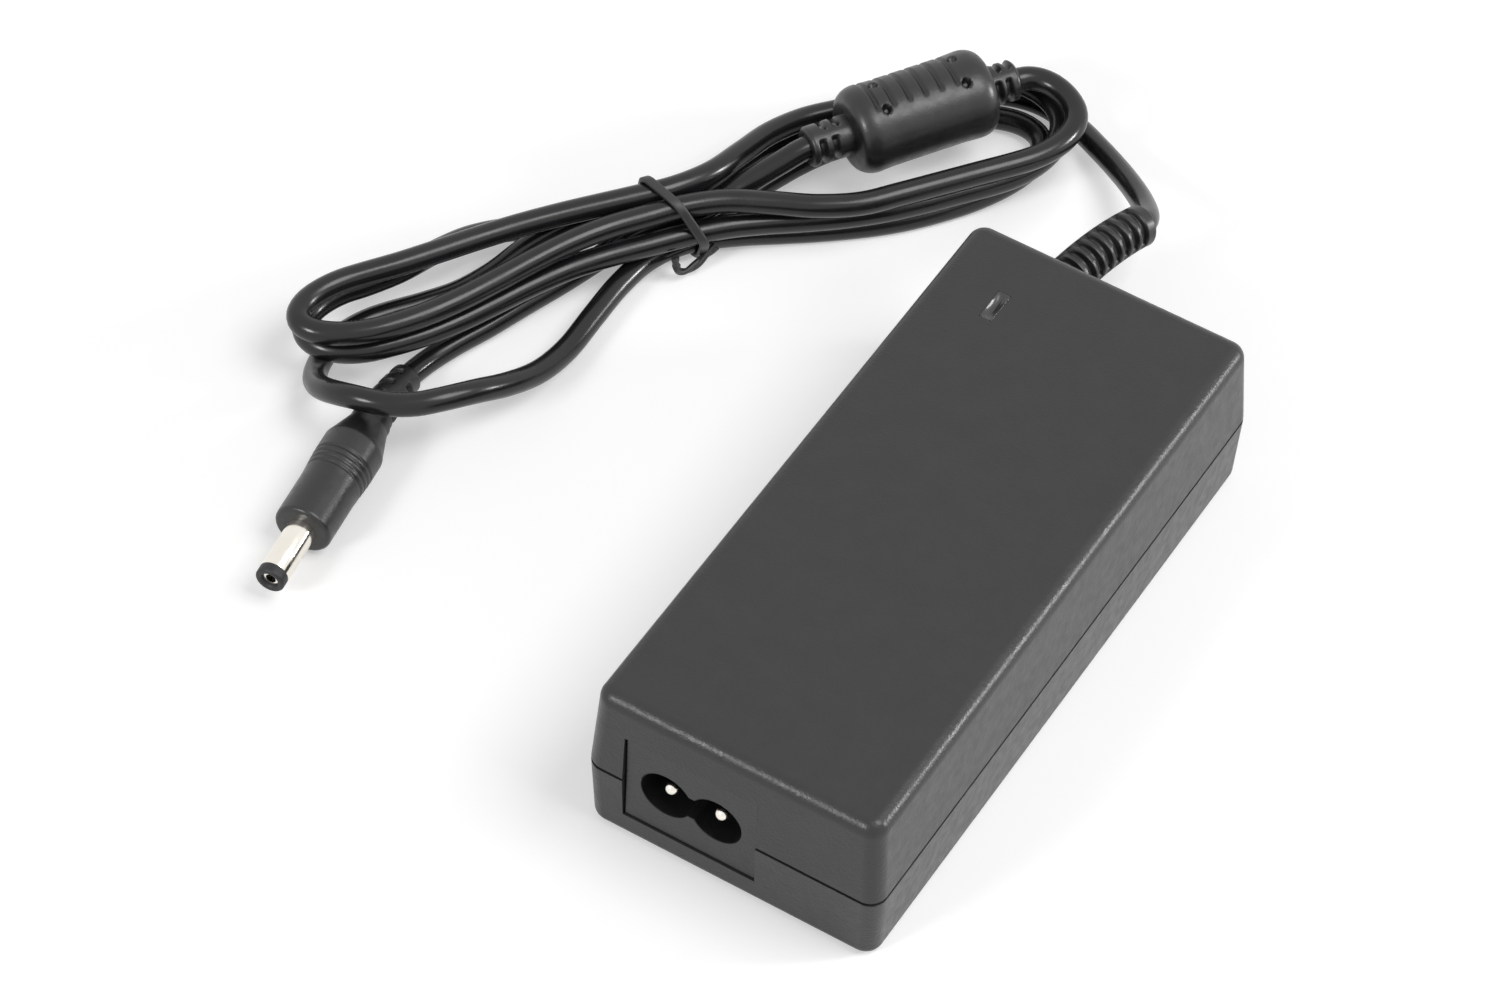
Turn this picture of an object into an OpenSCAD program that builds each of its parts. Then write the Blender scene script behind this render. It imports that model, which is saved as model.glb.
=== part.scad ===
// Laptop power adapter: a two-part plastic brick with a figure-8 mains inlet, a circuit
// board inside it, and a fixed DC cord that is folded into a tied hank and ends in a
// barrel plug. Millimetres. The origin is the middle of the brick's underside, +Y runs
// from the inlet to the cord, +Z is up.

/* [Brick] */
// Width of the brick, at the seam
brick_w = 50; // [48:0.5:60]
// Length of the brick, at the seam
brick_l = 112.5; // [110:0.5:130]
// Height of the brick
brick_h = 30; // [29:0.5:36]
// Height of the seam between the two covers
seam_z = 13.5; // [11:0.5:16]
// Wall of the top and of the underside
skin = 2; // [1.5:0.1:2.4]
// Wall at the seam
side_wall = 2.9; // [2.5:0.1:3.2]
// How far each side leans in from the seam to the top
top_draft = 0.9; // [0:0.1:1.2]
// How far each side leans in from the seam to the underside
base_draft = 0.5; // [0:0.1:1]
// Radius of the upright corners
corner_r = 2.8; // [2.5:0.1:5]
// Radius round the top's edge
top_edge_r = 2.4; // [1:0.1:2.5]
// Radius round the underside's edge
base_edge_r = 1.8; // [1:0.1:2.5]
// Height of the fine groove at the seam
seam_gap = 0.4; // [0.1:0.05:0.5]
// Height of the lower cover's tongue above the seam
tongue_h = 1.6; // [1:0.1:3]
// Thickness of that tongue
tongue_t = 1.2; // [0.8:0.1:1.5]

/* [Mains inlet] */
// Middle of the inlet, across the brick
inlet_x = -7; // [-9:0.5:-5]
// Middle of the inlet, above the base
inlet_z = 14; // [13.5:0.25:15]
// Width of the inlet housing's face
inlet_w = 22.4; // [21:0.2:24]
// Height of the inlet housing's face
inlet_h = 17.6; // [16:0.1:19]
// Distance between the two pins
pin_pitch = 8.6; // [8.4:0.1:8.8]
// Diameter of a pin
pin_d = 2.36; // [2.2:0.02:2.5]
// How far a pin's tip lies behind the face
pin_setback = 1.5; // [1:0.1:3]
// Radius of each round lobe of the socket
lobe_r = 4.25; // [4:0.05:4.4]
// Height of the socket between its lobes
neck_h = 4.2; // [4.1:0.1:5]
// Depth of the socket
socket_depth = 12.3; // [11:0.1:13]
// Clearance between a fitted piece and the hole round it
fit = 0.12; // [0.05:0.01:0.2]

/* [Light] */
// Width of the light's lens
lens_w = 2.2; // [1.8:0.1:3]
// Length of the light's lens
lens_l = 6; // [4:0.1:7]
// Middle of the lens, across the brick
lens_x = -12.6; // [-15:0.1:-11]
// Distance from the lens's middle to the cord's end of the brick
lens_inset = 15.7; // [14:0.1:18]
// How far the lens stands out of the top
lens_proud = 0.15; // [0:0.05:0.4]

/* [Output strain relief] */
// Place of the cord's exit, across the brick
exit_x = -12.8; // [-14:0.1:-10]
// Height of the cord's exit
exit_z = 14; // [13:0.1:16]
// Diameter of the relief where it leaves the brick
relief_base_d = 7.2; // [6.6:0.1:8]
// Diameter of the relief at its free end
relief_end_d = 6.4; // [5.6:0.1:7]
// Number of ribs
relief_ribs = 12; // [8:1:18]
// Depth of the gaps between the ribs
relief_rib_depth = 0.6; // [0.3:0.05:0.9]
// Plain length between the brick and the first rib
relief_plain_l = 2; // [1:0.5:4]

/* [Cord] */
// Outer diameter of the cord
cord_d = 3.9; // [3.5:0.05:3.9]
// Gap between neighbouring strands of the hank
strand_gap = 0.45; // [0.45:0.01:0.6]
// Height of the hank above the floor where the tie goes round it
waist_lift = 1.1; // [1:0.05:1.4]
// Width of the tie's strip
tie_w = 2.6; // [1.5:0.1:4]
// Thickness of the tie's strip
tie_t = 0.6; // [0.4:0.05:0.7]
// Gap between the strands and the tie
tie_gap = 0.25; // [0.15:0.05:0.3]

/* [Ferrite] */
// Length of the ferrite's moulding without its collars
ferrite_l = 24.6; // [23.6:0.2:25.6]
// Diameter of the moulding at its rounded ends
ferrite_end_d = 14.7; // [14:0.1:14.9]
// Diameter of the moulding at its middle
ferrite_mid_d = 14.4; // [13.5:0.1:14.6]
// Length of the collar on the hank's side
near_collar_l = 5.5; // [4:0.1:5.8]
// Length of the collar on the plug's side
far_collar_l = 7.3; // [5:0.1:7.5]
// Diameter of both collars, over their rings
collar_d = 6.8; // [6:0.1:7]
// Depth of the grooves between a collar's rings
collar_groove = 0.45; // [0.2:0.05:0.6]
// Radial clearance round the cord in its bore
cord_clearance = 0.05; // [0.03:0.01:0.1]
// Wall between the ferrite core and the outside
ferrite_wall = 1.3; // [1:0.1:1.6]

/* [Plug] */
// Outer diameter of the plug's barrel
barrel_d = 4.8; // [4:0.1:5.5]
// Bore of the centre contact
contact_bore_d = 1.7; // [1.4:0.1:2]
// Length of the barrel and its tip, out of the grip
barrel_l = 11; // [9:0.5:12]
// Length of the black tip
tip_l = 1.7; // [1:0.1:3.5]
// Diameter of the grip at its front
grip_d = 9.4; // [8.5:0.1:10]
// Diameter of the grip at its widest
grip_max_d = 10; // [9.5:0.1:10]
// Length of the grip
grip_l = 24; // [22:0.5:24]
// Diameter of the grip's narrow end
grip_neck_d = 6.6; // [6:0.1:6.8]
// Number of fine grooves round the grip
grip_grooves = 3; // [0:1:5]
// Number of ribs on the plug's strain relief
plug_ribs = 7; // [4:1:9]

/* [Hidden] */

// Colours
BODY = "#4a4a4b";
BLACK = "#151516";
CORD = "#1b1b1c";
METAL = "#c9c9cb";
COPPER = "#b06a36";
BOARD = "#2f6b3a";
CORE = "#3a3a3d";
SMOKE = "#5c5c5e";

eps = 0.01;
sheet_eps = 0.02;
fine = 64;
coarse = 32;

// Inside of the brick
cavity_x = brick_w / 2 - side_wall;
cavity_y = brick_l / 2 - side_wall;
cavity_r = corner_r - 1;
roof_z = brick_h - skin;

// Circuit board
board_t = 1.6;
board_z = skin + 3;
board_top = board_z + board_t;
board_side_gap = 1.1;
board_x = cavity_x - board_side_gap;
board_front = -brick_l / 2 + socket_depth + 4.45;
board_back = cavity_y - 1.35;
post_d = 5;
post_x = board_x - post_d / 2 + 0.5;
post_front = board_front + 3.5;
post_back = board_back - 3.5;

// The parts on the board are laid out for a board and a headroom of this size. Places
// follow the board, and the parts shrink or grow with the tightest of the three.
plan_half_w = 21;
plan_l = 91.5;
plan_headroom = 21.4;
board_l = board_back - board_front;
fit_k = min(board_x / plan_half_w, board_l / plan_l, (roof_z - board_top) / plan_headroom);
function at_x(x) = x * board_x / plan_half_w;
function at_y(y) = board_front + y * board_l / plan_l;

//---------------------------------------------------------------- tubes

function unit(v) = v / norm(v);
function tangent(p, i) = unit(p[min(i + 1, len(p) - 1)] - p[max(i - 1, 0)]);

// One ring of a tube: flat sides above and below on a tube of 6
function ring(c, t, r, sides, flat) =
    let (side = unit(cross(t, [0, 0, 1])), up = cross(side, t))
    [for (k = [0:sides - 1]) c + r * cos(360 * k / sides) * side
        + r * flat * sin(360 * k / sides) * up];

// A tube along points p. r is one radius, or a list with one radius for each point.
module tube(p, r, sides = 8, flat = 1) {
    n = len(p);
    rings = [for (i = [0:n - 1])
        each ring(p[i], tangent(p, i), is_list(r) ? r[i] : r, sides, flat)];
    walls = [for (i = [0:n - 2], k = [0:sides - 1])
        let (a = i * sides + k, b = i * sides + (k + 1) % sides)
        each [[a, b, a + sides], [b, b + sides, a + sides]]];
    first = [for (k = [1:sides - 2]) [0, k + 1, k]];
    last = [for (k = [1:sides - 2])
        [(n - 1) * sides, (n - 1) * sides + k, (n - 1) * sides + k + 1]];
    polyhedron(points = rings, faces = concat(walls, first, last));
}

function bezier(a, b, c, d, t) =
    a * pow(1 - t, 3) + b * 3 * t * pow(1 - t, 2) + c * 3 * t * t * (1 - t) + d * pow(t, 3);

// Rings of a ribbed tube along a curve: a crest and a valley for each rib
function rib_steps(plain, ribs) = concat([0, plain],
    [for (i = [1:2 * ribs]) plain + (1 - plain) * i / (2 * ribs)]);
function rib_radii(r0, r1, plain, ribs, depth) = concat([r0, r0],
    [for (i = [1:2 * ribs])
        r0 + (r1 - r0) * i / (2 * ribs) - (i % 2 == 1 ? depth : 0)]);

//---------------------------------------------------------------- hank of cord

// The hank lies along its own axis: u along it from the tie, v towards the plug's side,
// z up. Its waist holds rows of 2, 3 and 2 strands, and the plug's lead is the middle one.
waist = [-74.3, 48.1];
hank_turn = 52.6;
pitch = cord_d + strand_gap;
cord_r = cord_d / 2;
row_size = [2, 3, 2];
waist_shift = 0.5;

function layer(k) = cord_r + k * pitch;
function slot(row, col) =
    [(col - (row_size[row] - 1) / 2) * pitch + waist_shift, layer(row) + waist_lift];

// Waist places of the back and the front strand of each loop, lowest loop first
back_slots = [slot(1, 0), slot(0, 0), slot(2, 0)];
front_slots = [slot(0, 1), slot(1, 2), slot(2, 1)];

// Turns: [reach from the waist, length of the back half, length of the front half,
// first and last share of the turn over which it climbs]
left_turns = [[65, 16, 15, 0.28, 0.78], [63.8, 11.6, 10, 0, 1], [64.9, 12, 12, 0, 1]];
right_turns = [[63.7, 15.8, 22, 0, 1], [66.9, 13, 16, 0, 1], [67.6, 6.2, 13, 0, 0.9]];

// Runs between the waist and a turn: [v at the turn, z at the turn, share of the run
// where v starts and stops changing, the same for z, sideways bow at mid-run]
left_back = [[0.2, layer(0), 0.15, 0.9, 0.35, 0.75, -0.5],
    [-2.7, 6.7, 0.05, 0.95, 0.33, 0.85, -6.6],
    [-1, 11.3, 0.1, 1, 0, 1, -1]];
left_front = [[28, 11.7, 0, 1, 0.45, 1, 2.4],
    [10.9, 7.1, 0.25, 0.95, 0.2, 1, 0],
    [10.9, 11.5, 0.2, 1, 0, 1, 0.3]];
right_back = [[-9.7, layer(0), 0, 0.7, 0, 0.5, 0],
    [-12.9, 6.5, 0, 0.53, 0, 0.58, -0.4],
    [-5.2, 12, 0, 1, 0, 1, 0]];
right_front = [[9, layer(0), 0, 0.95, 0, 0.5, 0],
    [10, 6.3, 0, 0.75, 0, 0.5, 0],
    [10.9, 10.8, 0, 0.55, 0, 0.5, 0]];

// The hank's first strand comes in along the floor behind the others
entry_u = 40;
entry_run = [-14.1, layer(0), 0.02, 0.64, 0.06, 0.66, 0];
loops = 3;
run_rings = 3;
turn_rings = 6;

function share(t, a, b) = min(1, max(0, (t - a) / (b - a)));
function ease(x) = pow(sin(90 * x), 2);

function run_point(side, from, len_u, q, t) = [side * len_u * t,
    from[0] + (q[0] - from[0]) * ease(share(t, q[2], q[3])) + q[6] * pow(sin(180 * t), 2),
    from[1] + (q[1] - from[1]) * ease(share(t, q[4], q[5]))];
function run_out(side, from, len_u, q, n) =
    [for (k = [0:n - 1]) run_point(side, from, len_u, q, k / n)];
function turn_point(side, g, b, f, x) =
    let (a = -90 + 180 * x, nose = a < 0 ? g[1] : g[2])
    [side * (g[0] - nose + nose * cos(a)),
        (b[0] + f[0]) / 2 + (f[0] - b[0]) / 2 * sin(a),
        b[1] + (f[1] - b[1]) * ease(share(x, g[3], g[4]))];
function turn(side, g, b, f, n) = [for (k = [0:n]) turn_point(side, g, b, f, k / n)];
function flip(p) = [for (i = [len(p) - 1:-1:0]) p[i]];
function rest(p) = [for (i = [1:len(p) - 1]) p[i]];

// Out along the back, round the turn and home along the front
function end_loop(side, g, b, f, from, to, nr, nt) = concat(
    run_out(side, from, g[0] - g[1], b, nr),
    turn(side, g, b, f, nt),
    flip(run_out(side, to, g[0] - g[2], f, nr)));

last = loops - 1;
function hank_route(nr, nt) = concat(
    [[entry_u, entry_run[0], entry_run[1]]],
    flip(run_out(1, back_slots[0], entry_u, entry_run, nr)),
    [for (i = [0:last]) each concat(
        rest(end_loop(-1, left_turns[i], left_back[i], left_front[i],
            back_slots[i], front_slots[i], nr, nt)),
        i < last ? rest(flip(end_loop(1, right_turns[i], right_back[i], right_front[i],
            back_slots[i + 1], front_slots[i], nr, nt))) : [])],
    rest(run_out(1, front_slots[last], right_turns[last][0] - right_turns[last][2],
        right_front[last], nr)),
    flip(turn(1, right_turns[last], right_back[last], right_front[last], nt)));

function place(p) = [waist[0] + p[0] * cos(hank_turn) + p[1] * sin(hank_turn),
    waist[1] + p[0] * sin(hank_turn) - p[1] * cos(hank_turn), p[2]];

// Ferrite's axis: the rims of its moulding, and the direction from plug side to hank side
ferrite_far = place([30.2, -2.66, 12.5]);
ferrite_near = place([54.8, -4.65, 12.5]);
ferrite_mid = (ferrite_far + ferrite_near) / 2;
ferrite_dir = unit(ferrite_near - ferrite_far);
ferrite_yaw = atan2(ferrite_dir[1], ferrite_dir[0]);

// The hank ends inside the near collar, against the plug's lead
hank_end = ferrite_mid + ferrite_dir * ferrite_l / 2;
hank_points = concat([for (p = hank_route(run_rings, turn_rings)) place(p)], [hank_end]);
hank_start = hank_points[0];

// Least distance between two stretches of the hank that aren't neighbours along it
function along(p) = [for (i = 0, s = 0; i < len(p); s = s + (i + 1 < len(p)
    ? norm(p[i + 1] - p[i]) : 0), i = i + 1) s];
probe = [for (p = hank_route(12, 24)) place(p)];
probe_at = along(probe);
skip = 4 * cord_d;
least = min([for (i = [0:2:len(probe) - 1], j = [i + 1:len(probe) - 1])
    if (probe_at[j] - probe_at[i] > skip) norm(probe[j] - probe[i])]);
echo(hank_least_gap_mm = least - cord_d, hank_length_mm = probe_at[len(probe) - 1]);

//---------------------------------------------------------------- free stretches of cord

// From the brick's strain relief, round and on to the hank
lead_points = concat([[-8, 81.3, 13.8], [-8.4, 83.7, 12.6], [-9.8, 86.4, 11],
    [-12.2, 89.5, 9.2], [-15.8, 93.1, 7.3], [-20.5, 97, 5.3], [-26.2, 100.8, 3.7],
    [-32.3, 104, 2.6], [-40.2, 105.7, 2.1], [-46.9, 104, 1.95], [-52.7, 99.6, 1.95]],
    [place([entry_u + 6, entry_run[0], entry_run[1]]), hank_start]);

// From the hank's end through the ferrite and the tie to the plug
plug_lead_points = concat([hank_end, ferrite_mid - ferrite_dir * (ferrite_l / 2 + 7.5)],
    [[-64.3, 63.8, 11.3], [-66.2, 60.8, 10.1], [-68, 57.8, 8.9], [-69.8, 54.1, 7.8]],
    [place([3.5, slot(1, 1)[0], slot(1, 1)[1]]), place([-1, slot(1, 1)[0], slot(1, 1)[1]])],
    [[-76.9, 43.8, 6.7], [-79.1, 40.4, 5.4], [-80.8, 37.3, 4], [-82.7, 33.7, 2.7],
    [-84.5, 29.5, 1.95],
    [-86.9, 22.5, 1.95], [-89.2, 15.4, 1.95], [-91.4, 9.6, 1.95], [-92.9, 4.5, 2],
    [-93.5, -0.8, 2.6]]);

// Twisted tails of the tie, in the hank's own axes
tail_points = [[-1.2, 7.3, 5.6], [-0.9, 7.6, 3.9], [-0.3, 7.4, 2.3], [0.8, 7.3, 1.6],
    [2, 6.9, 2], [3.4, 6.3, 3.1], [4.9, 5.9, 4.2]];

// Middle line of the brick's strain relief
exit_point = [exit_x, brick_l / 2, exit_z];
relief_bends = [[-12.6, 65.2, 14.5], [-10, 74.8, 15.6]];

// Plug: its tip, its heading and the height of its axis
plug_tip = [-87, -48, 5.05];
plug_yaw = 8;
plug_dir = [-sin(plug_yaw), cos(plug_yaw), 0];
grip_end = plug_tip + plug_dir * (barrel_l + grip_l);
plug_relief_bends = [grip_end + plug_dir * 4, plug_lead_points[len(plug_lead_points) - 1]
    + [0.1, -4, 0.7]];

// First points inside the floor are never allowed: the cord rests on z = 0
echo(lowest_cord_mm = min([for (p = concat(lead_points, plug_lead_points, hank_points))
    p[2]]) - cord_r);

//---------------------------------------------------------------- brick

// Slice of the brick's outer form, as four thin corner posts for a hull
module slice(z, inset, r) {
    for (x = [-1, 1], y = [-1, 1])
        translate([x * (brick_w / 2 - inset - r), y * (brick_l / 2 - inset - r), z])
            cylinder(r = r, h = sheet_eps, $fn = coarse);
}

module brick_form() {
    arc = [0, 30, 60, 90];
    hull() {
        slice(seam_z - sheet_eps / 2, 0, corner_r);
        for (a = arc) {
            lean = base_draft * (1 - base_edge_r * (1 - sin(a)) / seam_z);
            slice(base_edge_r * (1 - sin(a)), lean + base_edge_r * (1 - cos(a)),
                corner_r - base_edge_r * (1 - cos(a)));
        }
        for (a = arc)
            slice(brick_h - top_edge_r * (1 - sin(a)) - sheet_eps,
                top_draft + top_edge_r * (1 - cos(a)),
                corner_r - top_edge_r * (1 - cos(a)));
    }
}

// Straight-sided block with rounded upright corners
module rounded_block(half_x, half_y, r, z0, z1) {
    translate([0, 0, z0]) linear_extrude(z1 - z0) {
        square([2 * (half_x - r), 2 * half_y], center = true);
        square([2 * half_x, 2 * (half_y - r)], center = true);
        for (x = [-1, 1], y = [-1, 1])
            translate([x * (half_x - r), y * (half_y - r)]) circle(r = r, $fn = coarse);
    }
}

// Everything that passes through both covers
module cover_openings() {
    translate([inlet_x - inlet_w / 2 - fit, -brick_l / 2 - 1, inlet_z - inlet_h / 2 - fit])
        cube([inlet_w + 2 * fit, side_wall + 2, inlet_h + 2 * fit]);
    translate(exit_point) rotate([90, 0, 0])
        translate([0, 0, -1]) cylinder(d = relief_base_d + 2 * fit, h = side_wall + 2, $fn = fine);
}

module board_posts(z0, z1) {
    for (x = [-1, 1], y = [post_front, post_back])
        translate([x * post_x, y, z0]) cylinder(d = post_d, h = z1 - z0, $fn = coarse);
}

module top_cover() {
    color(BODY) {
        difference() {
            brick_form();
            translate([-brick_w, -brick_l, -1])
                cube([2 * brick_w, 2 * brick_l, seam_z + seam_gap / 2 + 1]);
            rounded_block(cavity_x, cavity_y, cavity_r, seam_z - 1, roof_z);
            rounded_block(cavity_x + tongue_t + fit, cavity_y + tongue_t + fit,
                cavity_r + tongue_t, seam_z - 1, seam_z + tongue_h);
            cover_openings();
            translate([lens_x - lens_w / 2 - fit, lens_y - lens_l / 2 - fit, roof_z - 1])
                cube([lens_w + 2 * fit, lens_l + 2 * fit, skin + 2]);
        }
        board_posts(board_top, roof_z);
    }
}

module bottom_cover() {
    color(BODY) {
        difference() {
            union() {
                difference() {
                    brick_form();
                    translate([-brick_w, -brick_l, seam_z - seam_gap / 2])
                        cube([2 * brick_w, 2 * brick_l, brick_h]);
                }
                rounded_block(cavity_x + tongue_t, cavity_y + tongue_t,
                    cavity_r + tongue_t, seam_z - 1, seam_z + tongue_h);
            }
            rounded_block(cavity_x, cavity_y, cavity_r, skin, brick_h);
            cover_openings();
        }
        board_posts(skin, board_z);
    }
}

//---------------------------------------------------------------- inlet

inlet_front = -brick_l / 2;
socket_floor = inlet_front + socket_depth;
inlet_back_t = 2.5;
inlet_back = socket_floor + inlet_back_t;
flange_lip = 1;
flange_t = 1.5;
pin_tail_d = 1.8;
pin_tail_out = 0.45;
socket_z = inlet_z;

module inlet_housing() {
    color(BLACK) difference() {
        union() {
            intersection() {
                brick_form();
                translate([inlet_x - inlet_w / 2, inlet_front - 1, inlet_z - inlet_h / 2])
                    cube([inlet_w, side_wall + 1, inlet_h]);
            }
            translate([inlet_x - inlet_w / 2 - flange_lip, inlet_front + side_wall,
                inlet_z - inlet_h / 2 - flange_lip])
                cube([inlet_w + 2 * flange_lip, flange_t, inlet_h + 2 * flange_lip]);
            translate([inlet_x - inlet_w / 2 + flange_lip, inlet_front + side_wall,
                inlet_z - inlet_h / 2 + flange_lip])
                cube([inlet_w - 2 * flange_lip, inlet_back - inlet_front - side_wall,
                    inlet_h - 2 * flange_lip]);
        }
        translate([inlet_x, inlet_front - 1, socket_z]) {
            for (x = [-1, 1]) translate([x * pin_pitch / 2, 0, 0]) rotate([-90, 0, 0])
                cylinder(r = lobe_r, h = socket_depth + 1, $fn = fine);
            translate([-pin_pitch / 2, 0, -neck_h / 2])
                cube([pin_pitch, socket_depth + 1, neck_h]);
        }
        for (x = [-1, 1]) translate([inlet_x + x * pin_pitch / 2, socket_floor - 1, socket_z])
            rotate([-90, 0, 0]) cylinder(d = pin_tail_d, h = inlet_back_t + 2, $fn = fine);
    }
}

module inlet_pin(side) {
    r = pin_d / 2;
    reach = socket_depth - pin_setback;
    color(METAL) translate([inlet_x + side * pin_pitch / 2, socket_floor, socket_z])
        rotate([90, 0, 0]) rotate_extrude($fn = fine) {
            translate([0, -inlet_back_t - pin_tail_out])
                square([pin_tail_d / 2, inlet_back_t + pin_tail_out + eps]);
            square([r, reach - r]);
            intersection() {
                translate([0, reach - r]) circle(r = r, $fn = fine);
                translate([0, reach - r - eps]) square([r, r + 1]);
            }
        }
}

module inlet_lead(side) {
    x = inlet_x + side * pin_pitch / 2;
    y = inlet_back + pin_tail_out;
    drop_y = board_front + 1.2;
    color(side < 0 ? "#5f4630" : "#2c5aa0")
        tube([[x, y, socket_z], [x, y + 0.6, socket_z], [x, drop_y - 0.5, socket_z - 1.2],
            [x, drop_y + 0.3, socket_z - 3.4], [x + 0.01, drop_y + 0.3, board_top]], 0.8, 8);
}

//---------------------------------------------------------------- light

lens_y = brick_l / 2 - lens_inset;
lens_foot = 0.6;
lens_foot_t = 0.8;

module led_lens() {
    color(SMOKE) {
        translate([lens_x - lens_w / 2, lens_y - lens_l / 2, roof_z - lens_foot_t])
            cube([lens_w, lens_l, skin + lens_foot_t + lens_proud]);
        translate([lens_x - lens_w / 2 - lens_foot, lens_y - lens_l / 2 - lens_foot,
            roof_z - lens_foot_t])
            cube([lens_w + 2 * lens_foot, lens_l + 2 * lens_foot, lens_foot_t]);
    }
}

module led() {
    led_h = 4;
    top = roof_z - lens_foot_t;
    color("#bfe8c0") translate([lens_x, lens_y, 0]) {
        translate([0, 0, top - led_h]) cylinder(d = 3, h = led_h, $fn = coarse);
        for (y = [-1.27, 1.27]) translate([-0.25, y - 0.25, board_top])
            cube([0.5, 0.5, top - led_h - board_top + 0.5]);
    }
}

//---------------------------------------------------------------- strain relief

gland_r = relief_base_d / 2 + 1.4;
gland_t = 1.5;
lead_out = lead_points[0];

module output_strain_relief() {
    plain = relief_plain_l / norm(lead_out - exit_point);
    steps = rib_steps(plain, relief_ribs);
    curve = [for (t = steps)
        bezier(exit_point, relief_bends[0], relief_bends[1], lead_out, t)];
    color(CORD) {
        tube(curve, rib_radii(relief_base_d / 2, relief_end_d / 2, plain, relief_ribs,
            relief_rib_depth), 8);
        translate(exit_point) rotate([90, 0, 0]) cylinder(d = relief_base_d,
            h = side_wall + eps, $fn = fine);
        translate([exit_x, brick_l / 2 - side_wall, exit_z]) rotate([90, 0, 0])
            cylinder(r = gland_r, h = gland_t, $fn = fine);
    }
}

module output_wire(side, paint) {
    x = exit_x + (side + 1) * 1.2;
    y = brick_l / 2 - side_wall - gland_t;
    foot_y = y - 5;
    color(paint) tube([[x, y, exit_z], [x, y - 1.5, exit_z], [x, y - 3.6, exit_z - 1],
        [x, y - 4.8, exit_z - 3], [x, foot_y, exit_z - 5], [x + 0.01, foot_y, board_top]],
        0.7, 8);
}

//---------------------------------------------------------------- cord

module dc_cord_lead() {
    color(CORD) tube(lead_points, cord_r, 8);
}

module dc_cord_hank() {
    color(CORD) tube(hank_points, cord_r, 6);
}

module dc_cord_plug_lead() {
    color(CORD) tube(plug_lead_points, cord_r, 8);
}

// Outline of the seven strands, grown by g
module waist_outline(g) {
    hull() for (row = [0:2], col = [0, row_size[row] - 1])
        translate(slot(row, col)) circle(r = cord_r + g, $fn = 24);
}

module cord_tie() {
    color(BLACK) {
        translate([waist[0], waist[1], 0]) rotate([0, 0, hank_turn])
            translate([-tie_w / 2, 0, 0]) rotate([90, 0, 90]) mirror([1, 0, 0])
                linear_extrude(tie_w) difference() {
                    waist_outline(tie_gap + tie_t);
                    waist_outline(tie_gap);
                }
        tube([for (p = tail_points) place(p)], 1.2, 6, 0.5);
    }
}

//---------------------------------------------------------------- ferrite

// Moves a shape with its axis along +X to the ferrite's axis
module at_ferrite() {
    translate(ferrite_mid) rotate([0, 0, ferrite_yaw]) rotate([0, 90, 0]) children();
}

core_l = ferrite_l - 2 * 2.2;
bore_r = cord_r + cord_clearance;

// Half outline of a collar from z0 outward, with three rings
function collar_outline(z0, len_z, dir) = [for (i = [0:5])
    [collar_d / 2 - (i % 2 == 1 ? collar_groove : 0), z0 + dir * len_z * i / 5]];

module ferrite_profile() {
    h = ferrite_l / 2;
    e = ferrite_end_d / 2;
    m = ferrite_mid_d / 2;
    near = collar_outline(h, near_collar_l, 1);
    far = collar_outline(-h, far_collar_l, -1);
    polygon(concat(
        [[bore_r, -h - far_collar_l]], flip(far),
        [[e - 2.2, -h], [e - 1.1, -h + 0.4], [e - 0.3, -h + 1.5], [e, -h + 3.2],
        [m, -h + 6], [m, h - 6], [e, h - 2.8], [e - 0.2, h - 1.5], [e - 0.8, h - 0.5],
        [e - 1.8, h]],
        near, [[bore_r, h + near_collar_l]]));
}

module ferrite_overmould() {
    marks = [-7, 7.3];
    color(BLACK) at_ferrite() difference() {
        rotate_extrude($fn = fine) difference() {
            ferrite_profile();
            translate([0, -core_l / 2]) square([ferrite_mid_d / 2 - ferrite_wall, core_l]);
        }
        // Locating marks and the fine cross grooves between them, on top
        for (z = marks, y = [-3.1, 2.4])
            translate([-ferrite_mid_d / 2 - 1, y, z]) rotate([0, 90, 0])
                cylinder(d = 1.5, h = 2.4, $fn = 24);
        for (z = [-8.4:2.85:6])
            translate([-ferrite_mid_d / 2 - 1, -2.6, z - 0.25]) cube([2.1, 7, 0.5]);
    }
}

module ferrite_core() {
    color(CORE) at_ferrite() rotate_extrude($fn = fine)
        translate([bore_r, -core_l / 2 + 0.02])
            square([ferrite_mid_d / 2 - ferrite_wall - bore_r - 0.02, core_l - 0.04]);
}

//---------------------------------------------------------------- plug

// Moves a shape whose axis is +Z, with its tip at the origin, to the plug's place
module at_plug() {
    translate(plug_tip) rotate([0, 0, plug_yaw]) rotate([-90, 0, 0]) children();
}

contact_r = contact_bore_d / 2;
contact_wall = 0.35;
sleeve_wall = 0.4;
barrel_root = 4;
barrel_step = 0.2;
contact_root = 6;
insulator_r = contact_r + contact_wall;

module plug_barrel() {
    color(METAL) at_plug() rotate_extrude($fn = fine) {
        translate([barrel_d / 2 - sleeve_wall, tip_l])
            square([sleeve_wall, barrel_l - tip_l]);
        translate([barrel_d / 2 - sleeve_wall, barrel_l - 1])
            square([sleeve_wall - barrel_step, barrel_root + 1]);
    }
}

module plug_tip_insulator() {
    color(BLACK) at_plug() rotate_extrude($fn = fine) {
        translate([insulator_r, 0.3])
            square([barrel_d / 2 - sleeve_wall - insulator_r, barrel_l + barrel_root - 0.3]);
        polygon([[insulator_r, 0], [barrel_d / 2 - 0.3, 0], [barrel_d / 2, 0.3],
            [barrel_d / 2, tip_l], [insulator_r, tip_l]]);
    }
}

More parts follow.
